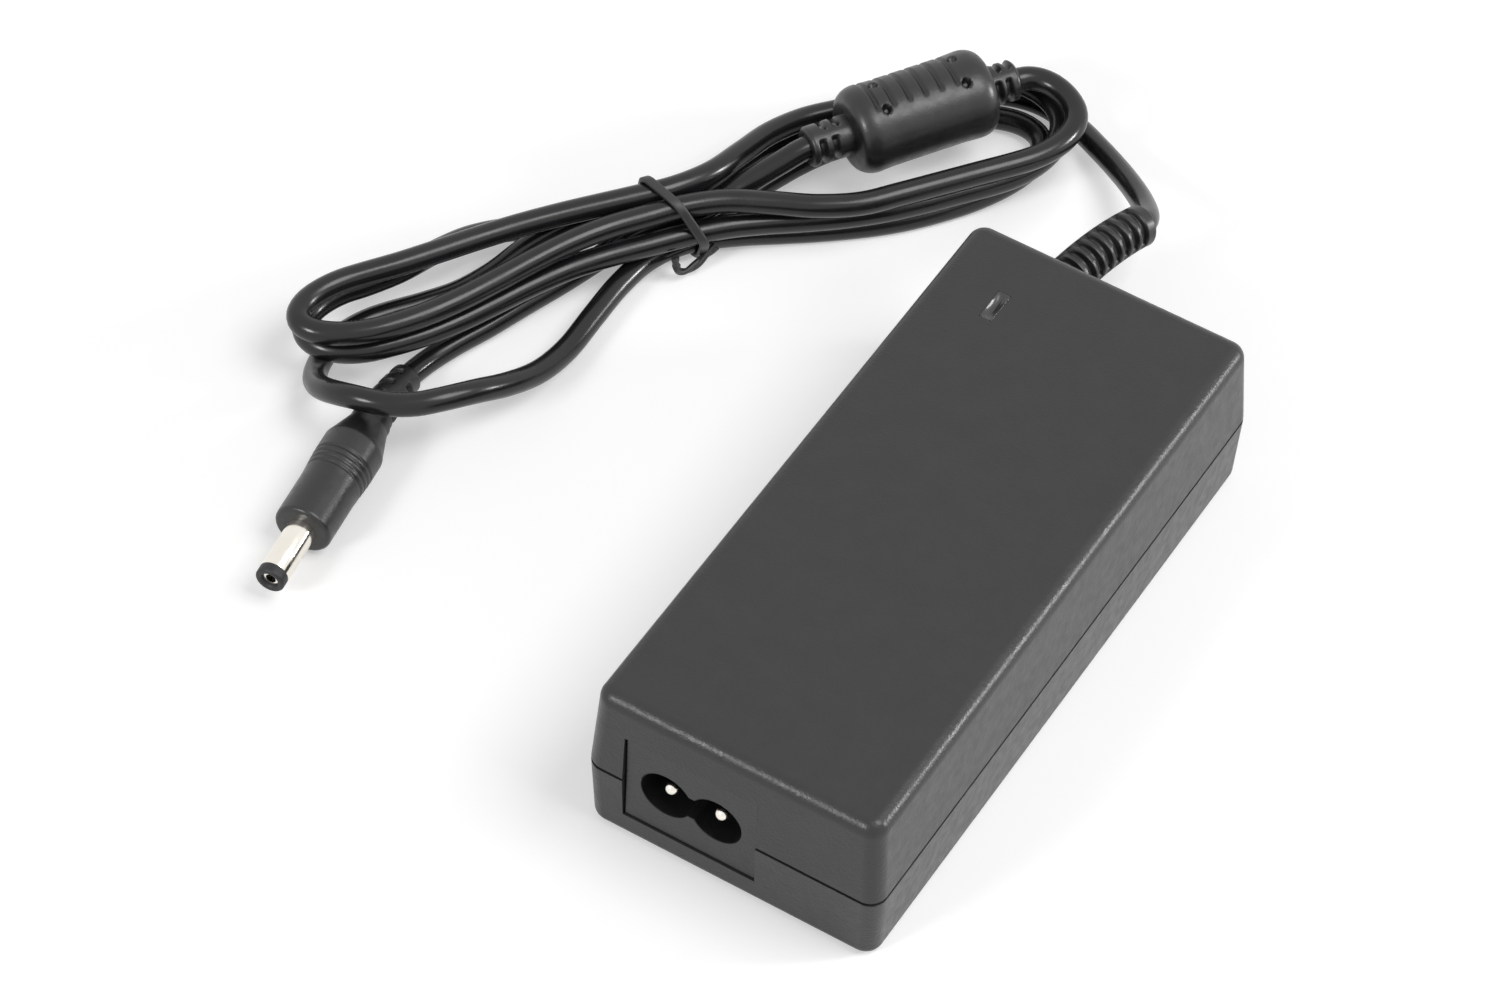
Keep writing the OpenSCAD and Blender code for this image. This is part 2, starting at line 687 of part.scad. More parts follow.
module plug_centre_contact() {
    color(METAL) at_plug() rotate_extrude($fn = fine) {
        translate([contact_r, 0.6])
            square([contact_wall, barrel_l + contact_root - 0.6]);
        translate([0, barrel_l + contact_root - 1])
            square([insulator_r, 1]);
    }
}

module grip_profile() {
    r0 = grip_d / 2;
    r1 = grip_max_d / 2;
    end = barrel_l + grip_l;
    wide = barrel_l + grip_l * 0.62;
    taper = barrel_l + grip_l * 0.74;
    groove = 0.18;
    step = 1.1;
    polygon(concat(
        [[0, barrel_l], [r0 - 0.5, barrel_l], [r0, barrel_l + 0.5], [r0, wide - 5]],
        [for (i = [1:grip_grooves]) each let (z = wide - 5 + i * step,
            r = r0 + (r1 - r0) * i / (grip_grooves + 2))
            [[r, z - 0.3], [r - groove, z - 0.15], [r - groove, z + 0.15], [r, z + 0.3]]],
        [[r1, wide], [r1, taper - 1], [r1 - 0.3, taper], [grip_neck_d / 2 + 0.3, end - 0.8],
        [grip_neck_d / 2, end], [0, end]]));
}

module plug_grip() {
    color(BLACK) at_plug() difference() {
        rotate_extrude($fn = fine) grip_profile();
        translate([0, 0, barrel_l - 1])
            cylinder(d = barrel_d - 2 * barrel_step, h = barrel_root + 1, $fn = fine);
        translate([0, 0, barrel_l])
            cylinder(r = insulator_r, h = contact_root, $fn = fine);
    }
}

module plug_strain_relief() {
    end = plug_lead_points[len(plug_lead_points) - 1];
    steps = rib_steps(0.06, plug_ribs);
    curve = [for (t = steps)
        bezier(grip_end, plug_relief_bends[0], plug_relief_bends[1], end, t)];
    color(BLACK) tube(curve, rib_radii(3.1, 2.6, 0.06, plug_ribs, 0.5), 8);
}

//---------------------------------------------------------------- board and its parts

// Upright box on the board. x runs from the board's middle line, y from its inlet end.
module on_board(x, y, size) {
    translate([at_x(x) - fit_k * size[0] / 2, at_y(y) - fit_k * size[1] / 2, board_top])
        cube(fit_k * size);
}

// Disc on edge on the board, its faces square to Y, with a flat where it stands
module disc_on_board(x, y, d, t) {
    flat = 0.1;
    translate([at_x(x), at_y(y) + fit_k * t / 2, board_top + fit_k * (d / 2 - flat)])
        rotate([90, 0, 0]) intersection() {
            cylinder(d = fit_k * d, h = fit_k * t, $fn = fine);
            translate([-d, -fit_k * (d / 2 - flat), -1]) cube([2 * d, 2 * d, t + 2]);
        }
}

module can_on_board(x, y, d, h) {
    translate([at_x(x), at_y(y), board_top]) cylinder(d = fit_k * d, h = fit_k * h, $fn = fine);
}

module main_board() {
    color(BOARD) translate([-board_x, board_front, board_z])
        cube([2 * board_x, board_l, board_t]);
}

module insulating_sheet() {
    sheet_x = post_x - post_d / 2 - 0.5;
    sheet_t = 0.4;
    color("#e9e6dc") translate([-sheet_x, board_front, skin])
        cube([2 * sheet_x, board_l, sheet_t]);
}

module fuse() {
    color("#3a2a22") on_board(8, 5.8, [8.4, 4, 8]);
}

module varistor() {
    color("#2b62a8") disc_on_board(-10.5, 5.6, 10, 4);
}

module thermistor() {
    color("#27443a") disc_on_board(-1, 5.6, 9, 4.4);
}

module x_capacitor() {
    color("#c9b458") on_board(-11, 16.5, [18, 8, 15]);
}

choke_at = [11, 22.5];
choke_mid_r = 6.6;
choke_core_w = 4;
choke_core_h = 8;
choke_wire_t = 1.2;

// Sector of a ring round the choke's axis
module choke_sector(grow, from, sweep) {
    w = choke_core_w + 2 * grow;
    h = choke_core_h + 2 * grow;
    translate([at_x(choke_at[0]), at_y(choke_at[1]),
        board_top + fit_k * (choke_core_h / 2 + choke_wire_t)])
        rotate([0, 0, from]) rotate_extrude(angle = sweep, $fn = fine)
            translate([fit_k * (choke_mid_r - w / 2), -fit_k * h / 2]) square([fit_k * w, fit_k * h]);
}

module choke_core() {
    color(CORE) choke_sector(0, 0, 360);
}

module choke_winding(from) {
    sweep = 130;
    color(COPPER) difference() {
        choke_sector(choke_wire_t, from, sweep);
        choke_sector(0, 0, 360);
    }
}

module bridge_rectifier() {
    color(BLACK) on_board(-12, 25, [15, 3.6, 11]);
}

module bulk_capacitor() {
    d = 16 * fit_k;
    l = 26 * fit_k;
    color("#2a2f3f") translate([at_x(-12), at_y(28.5), board_top + d / 2])
        rotate([-90, 0, 0]) cylinder(d = d, h = l, $fn = fine);
}

module controller_chip() {
    color(BLACK) on_board(4, 36.5, [5, 4, 1.6]);
}

heatsink_t = 1.5 * fit_k;
heatsink_h = 18 * fit_k;
heatsink_x = board_x - 0.5 - heatsink_t;
power_part_t = 4.5 * fit_k;

// Plate on the board's right edge, from its middle y and its length
module heatsink(y, l) {
    color(METAL) translate([heatsink_x, at_y(y) - fit_k * l / 2, board_top])
        cube([heatsink_t, fit_k * l, heatsink_h]);
}

module power_part(y) {
    w = 10 * fit_k;
    h = 15.5 * fit_k;
    color(BLACK) translate([heatsink_x - power_part_t, at_y(y) - w / 2, board_top])
        cube([power_part_t, w, h]);
}

module primary_heatsink() {
    heatsink(45.5, 22);
}

module switching_transistor() {
    power_part(43.5);
}

module secondary_heatsink() {
    heatsink(75.5, 17);
}

module output_rectifier() {
    power_part(77.5);
}

xf_at = [1, 65];
xf_w = 24 * fit_k;
xf_core_t = xf_w / 3;
xf_h = 19 * fit_k;
xf_limb = xf_w / 6;
xf_bobbin_t = 0.8 * fit_k;
xf_flange_t = fit_k;
xf_tape_t = 0.5 * fit_k;
xf_play = 0.2 * fit_k;
xf_window_w = xf_w - 2 * xf_limb;
xf_coil_w = xf_window_w - 2 * xf_tape_t - 2 * xf_play;
xf_coil_l = 2 * xf_core_t;

// Block centred on the transformer's axis between two heights above the board
module xf_block(w, l, z0, z1) {
    translate([at_x(xf_at[0]) - w / 2, at_y(xf_at[1]) - l / 2, board_top + z0])
        cube([w, l, z1 - z0]);
}

module transformer_core() {
    color(CORE) difference() {
        xf_block(xf_w, xf_core_t, 0, xf_h);
        for (x = [-1, 1]) translate([x * xf_w / 4, 0, 0])
            xf_block(xf_w / 2 - 2 * xf_limb, xf_core_t + 2, xf_limb, xf_h - xf_limb);
    }
}

xf_centre = 2 * xf_limb;

module transformer_bobbin() {
    low = xf_limb;
    high = xf_h - xf_limb;
    flange_w = xf_window_w - xf_play;
    flange_l = xf_coil_l + 2 * fit_k;
    color("#3b3b36") difference() {
        union() {
            xf_block(xf_centre + 2 * xf_bobbin_t, xf_core_t + 2 * xf_bobbin_t, low, high);
            xf_block(flange_w, flange_l, low, low + xf_flange_t);
            xf_block(flange_w, flange_l, high - xf_flange_t, high);
        }
        xf_block(xf_centre, xf_core_t, low - 1, high + 1);
    }
}

module transformer_winding() {
    color(COPPER) difference() {
        xf_block(xf_coil_w, xf_coil_l, xf_limb + xf_flange_t, xf_h - xf_limb - xf_flange_t);
        xf_block(xf_centre + 2 * xf_bobbin_t, xf_core_t + 2 * xf_bobbin_t, 0, xf_h);
    }
}

module transformer_tape() {
    color("#d8b92f") difference() {
        xf_block(xf_coil_w + 2 * xf_tape_t, xf_coil_l + 2 * xf_tape_t,
            xf_limb + xf_flange_t, xf_h - xf_limb - xf_flange_t);
        xf_block(xf_coil_w, xf_coil_l, 0, xf_h);
    }
}

module y_capacitor() {
    color("#2b62a8") disc_on_board(-16.5, 60.5, 8, 4);
}

module optocoupler() {
    color(BLACK) on_board(17, 62, [4.6, 6.5, 3.5]);
}

module output_capacitor(x, y) {
    color("#20232c") can_on_board(x, y, 8, 16);
}

module output_choke() {
    color(COPPER) can_on_board(6, 82.5, 8, 11);
}

//---------------------------------------------------------------- nodes

top_cover();
bottom_cover();
inlet_housing();
inlet_pin(-1);  // inlet_pin_left
inlet_pin(1);  // inlet_pin_right
led_lens();
led();
output_strain_relief();
dc_cord_lead();
dc_cord_hank();
dc_cord_plug_lead();
cord_tie();
ferrite_overmould();
ferrite_core();
plug_grip();
plug_strain_relief();
plug_barrel();
plug_tip_insulator();
plug_centre_contact();
main_board();
insulating_sheet();
inlet_lead(-1);  // inlet_lead_left
inlet_lead(1);  // inlet_lead_right
fuse();
varistor();
thermistor();
x_capacitor();
choke_core();
choke_winding(115);  // choke_winding_left
choke_winding(-65);  // choke_winding_right
bridge_rectifier();
bulk_capacitor();
controller_chip();
primary_heatsink();
switching_transistor();
transformer_core();
transformer_bobbin();
transformer_winding();
transformer_tape();
y_capacitor();
optocoupler();
output_rectifier();
secondary_heatsink();
output_capacitor(-16.5, 71.5);  // output_capacitor_front
output_capacitor(-4, 81.5);  // output_capacitor_rear
output_choke();
output_wire(1, "#b02a2a");  // output_wire_positive
output_wire(-1, "#1a1a1a");  // output_wire_negative
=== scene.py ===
"""Laptop power adapter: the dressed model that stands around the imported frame.

The brick's covers, its figure-8 inlet, the light's lens, both strain reliefs, the cord with its
tie and ferrite, and the barrel plug are meshes made here. The parts on the circuit board stay
as the frame has them and get their finishes. Sizes are millimetres in the frame's axes, and each
piece is scaled to metres when it is set down.
"""

import logging
import math
from dataclasses import dataclass, field
from enum import Enum
from functools import partial
from typing import Callable, Sequence

import bmesh
import bpy
from mathutils import Matrix, Vector


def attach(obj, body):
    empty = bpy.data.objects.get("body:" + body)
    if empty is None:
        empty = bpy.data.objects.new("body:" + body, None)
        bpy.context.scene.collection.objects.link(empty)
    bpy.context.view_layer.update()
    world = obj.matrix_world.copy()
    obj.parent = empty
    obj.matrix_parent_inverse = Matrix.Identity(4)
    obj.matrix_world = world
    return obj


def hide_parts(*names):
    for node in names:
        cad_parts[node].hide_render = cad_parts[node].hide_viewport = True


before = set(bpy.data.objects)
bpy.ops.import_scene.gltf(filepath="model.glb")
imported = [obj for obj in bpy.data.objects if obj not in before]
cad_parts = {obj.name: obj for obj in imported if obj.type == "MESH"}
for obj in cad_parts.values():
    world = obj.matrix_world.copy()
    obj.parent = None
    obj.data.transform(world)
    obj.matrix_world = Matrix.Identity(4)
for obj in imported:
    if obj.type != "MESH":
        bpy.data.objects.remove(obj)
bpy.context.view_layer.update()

MM = 0.001
ROOT = "root"
CORD_EXIT = (-12.8, 56.25, 14.0)  # where the cord leaves the brick's end face
OVER = 1.0  # how far a cutting shape reaches past what it cuts
WELD = 1e-4  # points closer than this are one
Ring = list[Vector]
Span = tuple[float, float]
Point = tuple[float, float, float]
log = logging.getLogger("power_adapter")


# ---- finishes


def linear(code: str) -> tuple[float, float, float, float]:
    """Turn a hex colour into linear light.

    Args:
        code: Colour as "#rrggbb".

    Returns:
        Linear red, green and blue, and an alpha of 1.
    """
    shares = [int(code[i : i + 2], 16) / 255 for i in (1, 3, 5)]
    made = [c / 12.92 if c <= 0.04045 else ((c + 0.055) / 1.055) ** 2.4 for c in shares]
    return (made[0], made[1], made[2], 1.0)


class Surface(Enum):
    """How a finish looks close up."""

    GRAIN = "even grain of a mould"
    STREAKS = "fine lines along one axis"
    TURNS = "bands of wound wire"
    WEAVE = "crossed threads"


NOISE_LOW, NOISE_HIGH = 0.3, 0.7  # a noise's usual range
MIX_FACTOR, MIX_FIRST, MIX_SECOND, MIX_RESULT = 0, 6, 7, 2  # sockets of a colour Mix node
SHINE_PATCH = 4  # width of a patch of even shine, in grains
STREAK_STRETCH = 0.96  # how far streaks are drawn out along their axis
THREAD_WAVER = 0.3  # how unevenly threads and turns of wire lie


class NodeBoard:
    """Adds nodes to one material or world and links them."""

    def __init__(self, owner: bpy.types.ID) -> None:
        """Clear the owner's node tree.

        Args:
            owner: The material or world to work on.
        """
        owner.use_nodes = True
        self.tree = owner.node_tree
        self.tree.nodes.clear()

    def put(self, socket: bpy.types.NodeSocket, value: object) -> None:
        """Link an output to a socket, or set the socket to a plain value.

        Args:
            socket: The socket.
            value: The output or the plain value.
        """
        if isinstance(value, bpy.types.NodeSocket):
            self.tree.links.new(value, socket)
        else:
            socket.default_value = value

    def add(self, kind: str, **sockets: object) -> bpy.types.Node:
        """Add one node and set its sockets.

        Args:
            kind: Blender's name of the node type.
            sockets: Socket names, with _ for a space, and the value or output for each.

        Returns:
            The new node.
        """
        node = self.tree.nodes.new(kind)
        for name, value in sockets.items():
            self.put(node.inputs[name.replace("_", " ")], value)
        return node

    def join(self, kind: str, pair: Sequence[object], how: str = "") -> bpy.types.NodeSocket:
        """Add a node that makes one result of two.

        Args:
            kind: Blender's name of the node type.
            pair: The two values or outputs.
            how: What a Math node does with them.

        Returns:
            The result.
        """
        node = self.add(kind)
        if how:
            node.operation = how
        for socket, value in zip(node.inputs, pair):
            self.put(socket, value)
        return node.outputs[0]

    def noise(
        self, at: bpy.types.NodeSocket, size_mm: float, detail: float = 2.0
    ) -> bpy.types.NodeSocket:
        """Add a noise with patches about size_mm wide and a number of finer layers."""
        made = self.add("ShaderNodeTexNoise", Vector=at, Scale=1000 / size_mm, Detail=detail)
        return made.outputs[0]

    def remap(self, noise: bpy.types.NodeSocket, low: float, high: float) -> bpy.types.NodeSocket:
        """Map a noise's usual range onto the range from low to high."""
        ends = {"From_Min": NOISE_LOW, "From_Max": NOISE_HIGH, "To_Min": low, "To_Max": high}
        return self.add("ShaderNodeMapRange", Value=noise, **ends).outputs[0]


@dataclass(frozen=True)
class Finish:
    """One finish: two close tones, a roughness that varies, and a fine relief."""

    name: str
    colour: str
    second: str
    roughness: float
    play: float = 0.05
    grain_mm: float = 0.3
    depth_mm: float = 0.02
    patch_mm: float = 6.0
    metallic: float = 0.0
    specular: float = 0.5
    clear: float = 0.0
    surface: Surface = Surface.GRAIN
    axis: Point = (0.0, 0.0, 1.0)

    def material(self) -> bpy.types.Material:
        """Return this finish's material, made once.

        Returns:
            The node material.
        """
        known = bpy.data.materials.get(self.name)
        if known is not None and known.get("finish"):
            return known
        made = bpy.data.materials.new(self.name)
        made["finish"] = True
        board = NodeBoard(made)
        place = board.add("ShaderNodeTexCoord").outputs["Object"]
        tone = board.remap(board.noise(place, self.patch_mm, detail=3.0), 0.0, 1.0)
        mix = board.add("ShaderNodeMix")
        mix.data_type = "RGBA"
        board.put(mix.inputs[MIX_FACTOR], tone)
        board.put(mix.inputs[MIX_FIRST], linear(self.colour))
        board.put(mix.inputs[MIX_SECOND], linear(self.second))
        height, depth = self._relief(board, place), self.depth_mm * MM
        relief = board.add("ShaderNodeBump", Height=height, Strength=1.0, Distance=depth)
        shine = board.remap(
            board.noise(place, self.grain_mm * SHINE_PATCH),
            self.roughness - self.play,
            self.roughness + self.play,
        )
        shader = board.add(
            "ShaderNodeBsdfPrincipled",
            Base_Color=mix.outputs[MIX_RESULT],
            Metallic=self.metallic,
            Roughness=shine,
            Normal=relief.outputs[0],
            Specular_IOR_Level=self.specular,
            Transmission_Weight=self.clear,
        )
        board.add("ShaderNodeOutputMaterial", Surface=shader.outputs[0])
        return made

    def _relief(self, board: NodeBoard, place: bpy.types.NodeSocket) -> bpy.types.NodeSocket:
        """Add the nodes of the fine relief.

        Args:
            board: The material's nodes.
            place: Output that gives the place, in metres.

        Returns:
            The relief's height, about 0 to 1.
        """
        if self.surface is Surface.GRAIN:
            return board.noise(place, self.grain_mm)
        if self.surface is Surface.STREAKS:
            scale = tuple(1.0 - STREAK_STRETCH * abs(a) for a in self.axis)
            along = board.add("ShaderNodeMapping", Vector=place, Scale=scale)
            return board.noise(along.outputs[0], self.grain_mm, detail=1.0)
        bands = []
        for turn in (0.0, math.pi / 2) if self.surface is Surface.WEAVE else (0.0,):
            across = board.add("ShaderNodeMapping", Vector=place, Rotation=(0.0, 0.0, turn))
            wave = board.add(
                "ShaderNodeTexWave",
                Vector=across.outputs[0],
                Scale=1000 / (self.grain_mm * 2 * math.pi),
                Distortion=THREAD_WAVER,
            )
            wave.bands_direction = "Z" if self.surface is Surface.TURNS else "X"
            bands.append(wave.outputs[1])
        return bands[0] if len(bands) == 1 else board.join("ShaderNodeMath", bands, "MULTIPLY")


def wire(shade: str, colour: str, second: str) -> Finish:
    """Return the finish of a wire's insulation."""
    return Finish(f"wire_{shade}", colour, second, 0.35, 0.04, 0.6, 0.01)


CASE = Finish("case_plastic", "#303031", "#333334", 0.34, 0.05, 0.45, 0.052, specular=0.38)
# near-black painted shade for the faces deep inside the inlet's socket
SOCKET_SHADE = Finish("painted_socket_shade", "#0c0c0d", "#101011", 0.5, 0.05, 0.3, 0.02, specular=0.3)
SHEATH = Finish("cord_sheath", "#141415", "#18181a", 0.24, 0.05, 1.2, 0.01, specular=0.45)
MOULDING = Finish("soft_moulding", "#161617", "#1b1b1c", 0.36, 0.06, 0.35, 0.02, specular=0.6)
STRAP = Finish("tie_strap", "#2a2a2b", "#303031", 0.45, 0.06, 0.25, 0.015)
PLATED = Finish("nickel_plate", "#f4efe6", "#ebe6dc", 0.16, 0.05, 0.5, 0.002, metallic=1.0)
LIGHT_GUIDE = Finish(
    "light_guide", "#363637", "#3a3a3b", 0.27, 0.03, 0.6, 0.004, specular=0.6, clear=0.1
)
FERRITE = Finish("ferrite_ceramic", "#2c2c2f", "#38383b", 0.6, 0.08, 0.5, 0.03)
EPOXY_LED = Finish("led_resin", "#cfe8cf", "#bfe0c2", 0.25, 0.04, 0.5, 0.004, clear=0.2)
LAMINATE = Finish(
    "board_laminate", "#2b5f36", "#33703f", 0.38, 0.06, 0.35, 0.01, surface=Surface.WEAVE
)
FISH_PAPER = Finish("sheet_paper", "#ddd9cc", "#e6e3d8", 0.75, 0.05, 0.3, 0.02)
MOULD_BLACK = Finish("part_black", "#19191a", "#202021", 0.5, 0.06, 0.25, 0.015)
DIP_BLUE = Finish("part_blue", "#24569c", "#2a60aa", 0.33, 0.06, 0.9, 0.02)
DIP_GREEN = Finish("part_green", "#24453a", "#2a4f43", 0.36, 0.06, 0.9, 0.02)
BOX_YELLOW = Finish("part_yellow", "#c7b24f", "#d0bc5a", 0.4, 0.05, 0.4, 0.01)
ENAMEL = Finish(
    "copper_enamel", "#a8622f", "#b87038", 0.28, 0.06, 0.5, 0.08,
    metallic=0.9, surface=Surface.TURNS,
)
SLEEVE = Finish("capacitor_sleeve", "#232838", "#292f41", 0.3, 0.05, 0.8, 0.008)
ALUMINIUM = Finish(
    "heatsink", "#b9babc", "#c3c4c6", 0.36, 0.06, 0.2, 0.006,
    metallic=1.0, surface=Surface.STREAKS, axis=(0.0, 1.0, 0.0),
)

# Finish, material slot and names of the nodes that keep their own shape
KEPT_NODES: tuple[tuple[Finish, str, tuple[str, ...]], ...] = (
    (PLATED, "nickel", ("inlet_pin_left", "inlet_pin_right", "plug_centre_contact")),
    (EPOXY_LED, "led_epoxy", ("led",)),
    (FERRITE, "ferrite", ("ferrite_core", "choke_core", "transformer_core")),
    (LAMINATE, "board", ("main_board",)),
    (FISH_PAPER, "sheet", ("insulating_sheet",)),
    (wire("brown", "#5a3f2a", "#624630"), "wire_brown", ("inlet_lead_left",)),
    (wire("blue", "#2a56a0", "#2f5eac"), "wire_blue", ("inlet_lead_right",)),
    (wire("red", "#a62828", "#b23030"), "wire_red", ("output_wire_positive",)),
    (wire("black", "#161617", "#1b1b1c"), "wire_black", ("output_wire_negative",)),
    (
        MOULD_BLACK,
        "part_black",
        (
            "fuse", "bridge_rectifier", "controller_chip", "switching_transistor",
            "transformer_bobbin", "optocoupler", "output_rectifier",
        ),
    ),
    (DIP_BLUE, "part_blue", ("varistor", "y_capacitor")),
    (DIP_GREEN, "part_green", ("thermistor",)),
    (BOX_YELLOW, "part_yellow", ("x_capacitor", "transformer_tape")),
    (
        ENAMEL,
        "copper",
        ("choke_winding_left", "choke_winding_right", "transformer_winding", "output_choke"),
    ),
    (
        SLEEVE,
        "capacitor_sleeve",
        ("bulk_capacitor", "output_capacitor_front", "output_capacitor_rear"),
    ),
    (ALUMINIUM, "heatsink", ("primary_heatsink", "secondary_heatsink")),
)


# ---- mesh helpers


def placed(name: str, data: bpy.types.ID) -> bpy.types.Object:
    """Put a mesh, lamp or camera in the scene.

    Args:
        name: Name of the object.
        data: What the object shows.

    Returns:
        The new object.
    """
    made = bpy.data.objects.new(name, data)
    bpy.context.scene.collection.objects.link(made)
    return made


def new_piece(
    name: str, verts: Sequence[Vector], faces: Sequence[Sequence[int]]
) -> bpy.types.Object:
    """Make a mesh object and put it in the scene.

    Args:
        name: Name of the piece.
        verts: Its points, in millimetres.
        faces: Its faces, as indices of points.

    Returns:
        The new object.
    """
    mesh = bpy.data.meshes.new(name)
    mesh.from_pydata([tuple(v) for v in verts], [], [list(f) for f in faces])
    mesh.validate()
    work = bmesh.new()
    work.from_mesh(mesh)
    bmesh.ops.remove_doubles(work, verts=work.verts, dist=WELD)
    bmesh.ops.recalc_face_normals(work, faces=work.faces)
    work.to_mesh(mesh)
    work.free()
    return placed(name, mesh)


def loft(name: str, rings: Sequence[Ring], loop: bool = False) -> bpy.types.Object:
    """Join rings of equal size into a skin.

    Args:
        name: Name of the piece.
        rings: The rings, each a closed row of points.
        loop: Whether the last ring joins the first. Otherwise both ends are capped.

    Returns:
        The new object.
    """
    count, sides = len(rings), len(rings[0])
    verts = [p for ring in rings for p in ring]
    faces = [
        [
            i * sides + j,
            i * sides + (j + 1) % sides,
            (i + 1) % count * sides + (j + 1) % sides,
            (i + 1) % count * sides + j,
        ]
        for i in range(count if loop else count - 1)
        for j in range(sides)
    ]
    if not loop:
        faces.append(list(range(sides))[::-1])
        faces.append([(count - 1) * sides + j for j in range(sides)])
    return new_piece(name, verts, faces)


def cross_axes(heading: Vector) -> tuple[Vector, Vector]:
    """Return the sideways and the upward direction across a heading that isn't upright."""
    side = heading.cross(Vector((0, 0, 1))).normalized()
    return side, side.cross(heading).normalized()


def lengths_along(path: Sequence[Vector]) -> list[float]:
    """Measure a path.

    Args:
        path: Its points.

    Returns:
        Each point's distance along the path from its first point.
    """
    made = [0.0]
    for a, b in zip(path, path[1:]):
        made.append(made[-1] + (b - a).length)
    return made


def heading_at(path: Sequence[Vector], i: int) -> Vector:
    """Return the direction in which a path runs at its point i."""
    return (path[min(i + 1, len(path) - 1)] - path[max(i - 1, 0)]).normalized()


def ring_round(
    centre: Vector, heading: Vector, sides: int, radius: Callable[[float], float]
) -> Ring:
    """Give a ring of points across a heading.

    Args:
        centre: The ring's middle.
        heading: Direction of the piece there.
        sides: Number of points.
        radius: Gives the radius at an angle, where 0 is sideways and a quarter turn is up.

    Returns:
        The ring.
    """
    side, up = cross_axes(heading)
    made = []
    for j in range(sides):
        angle = 2 * math.pi * j / sides
        out = radius(angle)
        made.append(centre + side * (out * math.cos(angle)) + up * (out * math.sin(angle)))
    return made


def sweep(
    name: str, path: Sequence[Vector], sides: int, radius: Callable[[float, float], float]
) -> bpy.types.Object:
    """Sweep a round outline along a path.

    Args:
        name: Name of the piece.
        path: Points of the middle line.
        sides: Number of points round it.
        radius: Gives the radius at a distance along the path and an angle.

    Returns:
        The new object.
    """
    rings = [
        ring_round(centre, heading_at(path, i), sides, partial(radius, at))
        for i, (centre, at) in enumerate(zip(path, lengths_along(path)))
    ]
    return loft(name, rings)


def turned(
    name: str,
    base: Vector,
    axis: Vector,
    profile: Sequence[Span],
    sides: int = 64,
    loop: bool = False,
    carve: Callable[[float, float], float] | None = None,
) -> bpy.types.Object:
    """Turn a profile round an axis, and carve its skin where asked.

    Args:
        name: Name of the piece.
        base: Where the profile's 0 lies.
        axis: Direction of the axis.
        profile: Distance along the axis and radius of each ring.
        sides: Number of points round it.
        loop: Whether the profile closes on itself, as on a sleeve.
        carve: Gives the depth to take off at a distance and an angle.

    Returns:
        The new object.
    """

    def radius(at: float, out: float, angle: float) -> float:
        """Return the radius at one place, less what is carved off."""
        return out - (carve(at, angle) if carve else 0.0)

    rings = [
        ring_round(base + axis * at, axis, sides, partial(radius, at, out)) for at, out in profile
    ]
    return loft(name, rings, loop)


def combine(piece: bpy.types.Object, tool: bpy.types.Object, how: str) -> None:
    """Cut, join or trim a piece with another, which is then removed.

    Args:
        piece: The piece that stays.
        tool: The shape to work with.
        how: DIFFERENCE, UNION or INTERSECT.
    """
    step = piece.modifiers.new("combine", "BOOLEAN")
    step.operation = how
    step.solver = "EXACT"
    step.object = tool
    apply_steps(piece)
    bpy.data.objects.remove(tool)


def apply_steps(piece: bpy.types.Object) -> None:
    """Turn a piece's modifiers into plain mesh.

    Args:
        piece: The piece.
    """
    bpy.context.view_layer.update()
    seen = piece.evaluated_get(bpy.context.evaluated_depsgraph_get())
    mesh = bpy.data.meshes.new_from_object(seen)
    piece.modifiers.clear()
    piece.data = mesh


def soften(piece: bpy.types.Object, width: float, above_deg: float = 50.0) -> None:
    """Round a piece's sharp edges a little.

    Args:
        piece: The piece.
        width: Width of the rounding, in millimetres.
        above_deg: Edges that turn more than this are rounded.
    """
    step = piece.modifiers.new("soften", "BEVEL")
    step.width = width
    step.segments = 2
    step.limit_method = "ANGLE"
    step.angle_limit = math.radians(above_deg)
    apply_steps(piece)


def prism(name: str, outline: Sequence[Span], low: float, high: float) -> bpy.types.Object:
    """Return an outline made into a solid between two heights."""
    return loft(name, [[Vector((x, y, z)) for x, y in outline] for z in (low, high)])


def block(low: Point, high: Point, name: str = "cutter") -> bpy.types.Object:
    """Return a box between its lowest and its highest corner."""
    corners = [(low[0], low[1]), (high[0], low[1]), (high[0], high[1]), (low[0], high[1])]
    return prism(name, corners, low[2], high[2])


def rounded_outline(half_x: float, half_y: float, r: float, steps: int) -> list[Span]:
    """Give a rounded rectangle's outline.

    Args:
        half_x: Half its size along x.
        half_y: Half its size along y.
        r: Radius of its corners.
        steps: Number of steps round each corner.

    Returns:
        The outline's points.
    """
    made = []
    for quarter, (sx, sy) in enumerate(((1, 1), (-1, 1), (-1, -1), (1, -1))):
        for i in range(steps + 1):
            angle = math.pi / 2 * (quarter + i / steps)
            made.append(
                (sx * (half_x - r) + r * math.cos(angle), sy * (half_y - r) + r * math.sin(angle))
            )
    return made


def stations(low: float, high: float, step: float) -> list[float]:
    """Return even distances from low to high, both included, about a step apart."""
    count = round((high - low) / step)
    return [low + (high - low) * i / count for i in range(count + 1)]


def rounded_rim(at: float, out: float, r: float, steps: int = 4) -> list[Span]:
    """Return the rings of a rim that starts at a distance and is rounded up to a radius."""
    angles = [math.pi / 2 * i / steps for i in range(steps + 1)]
    return [(at + r - r * math.cos(a), out - r + r * math.sin(a)) for a in angles]


def between(p: Vector, q: Vector, at_p: float, at_q: float, t: float) -> Vector:
    """Return the point at t on the line that meets p at at_p and q at at_q."""
    return p * ((at_q - t) / (at_q - at_p)) + q * ((t - at_p) / (at_q - at_p))


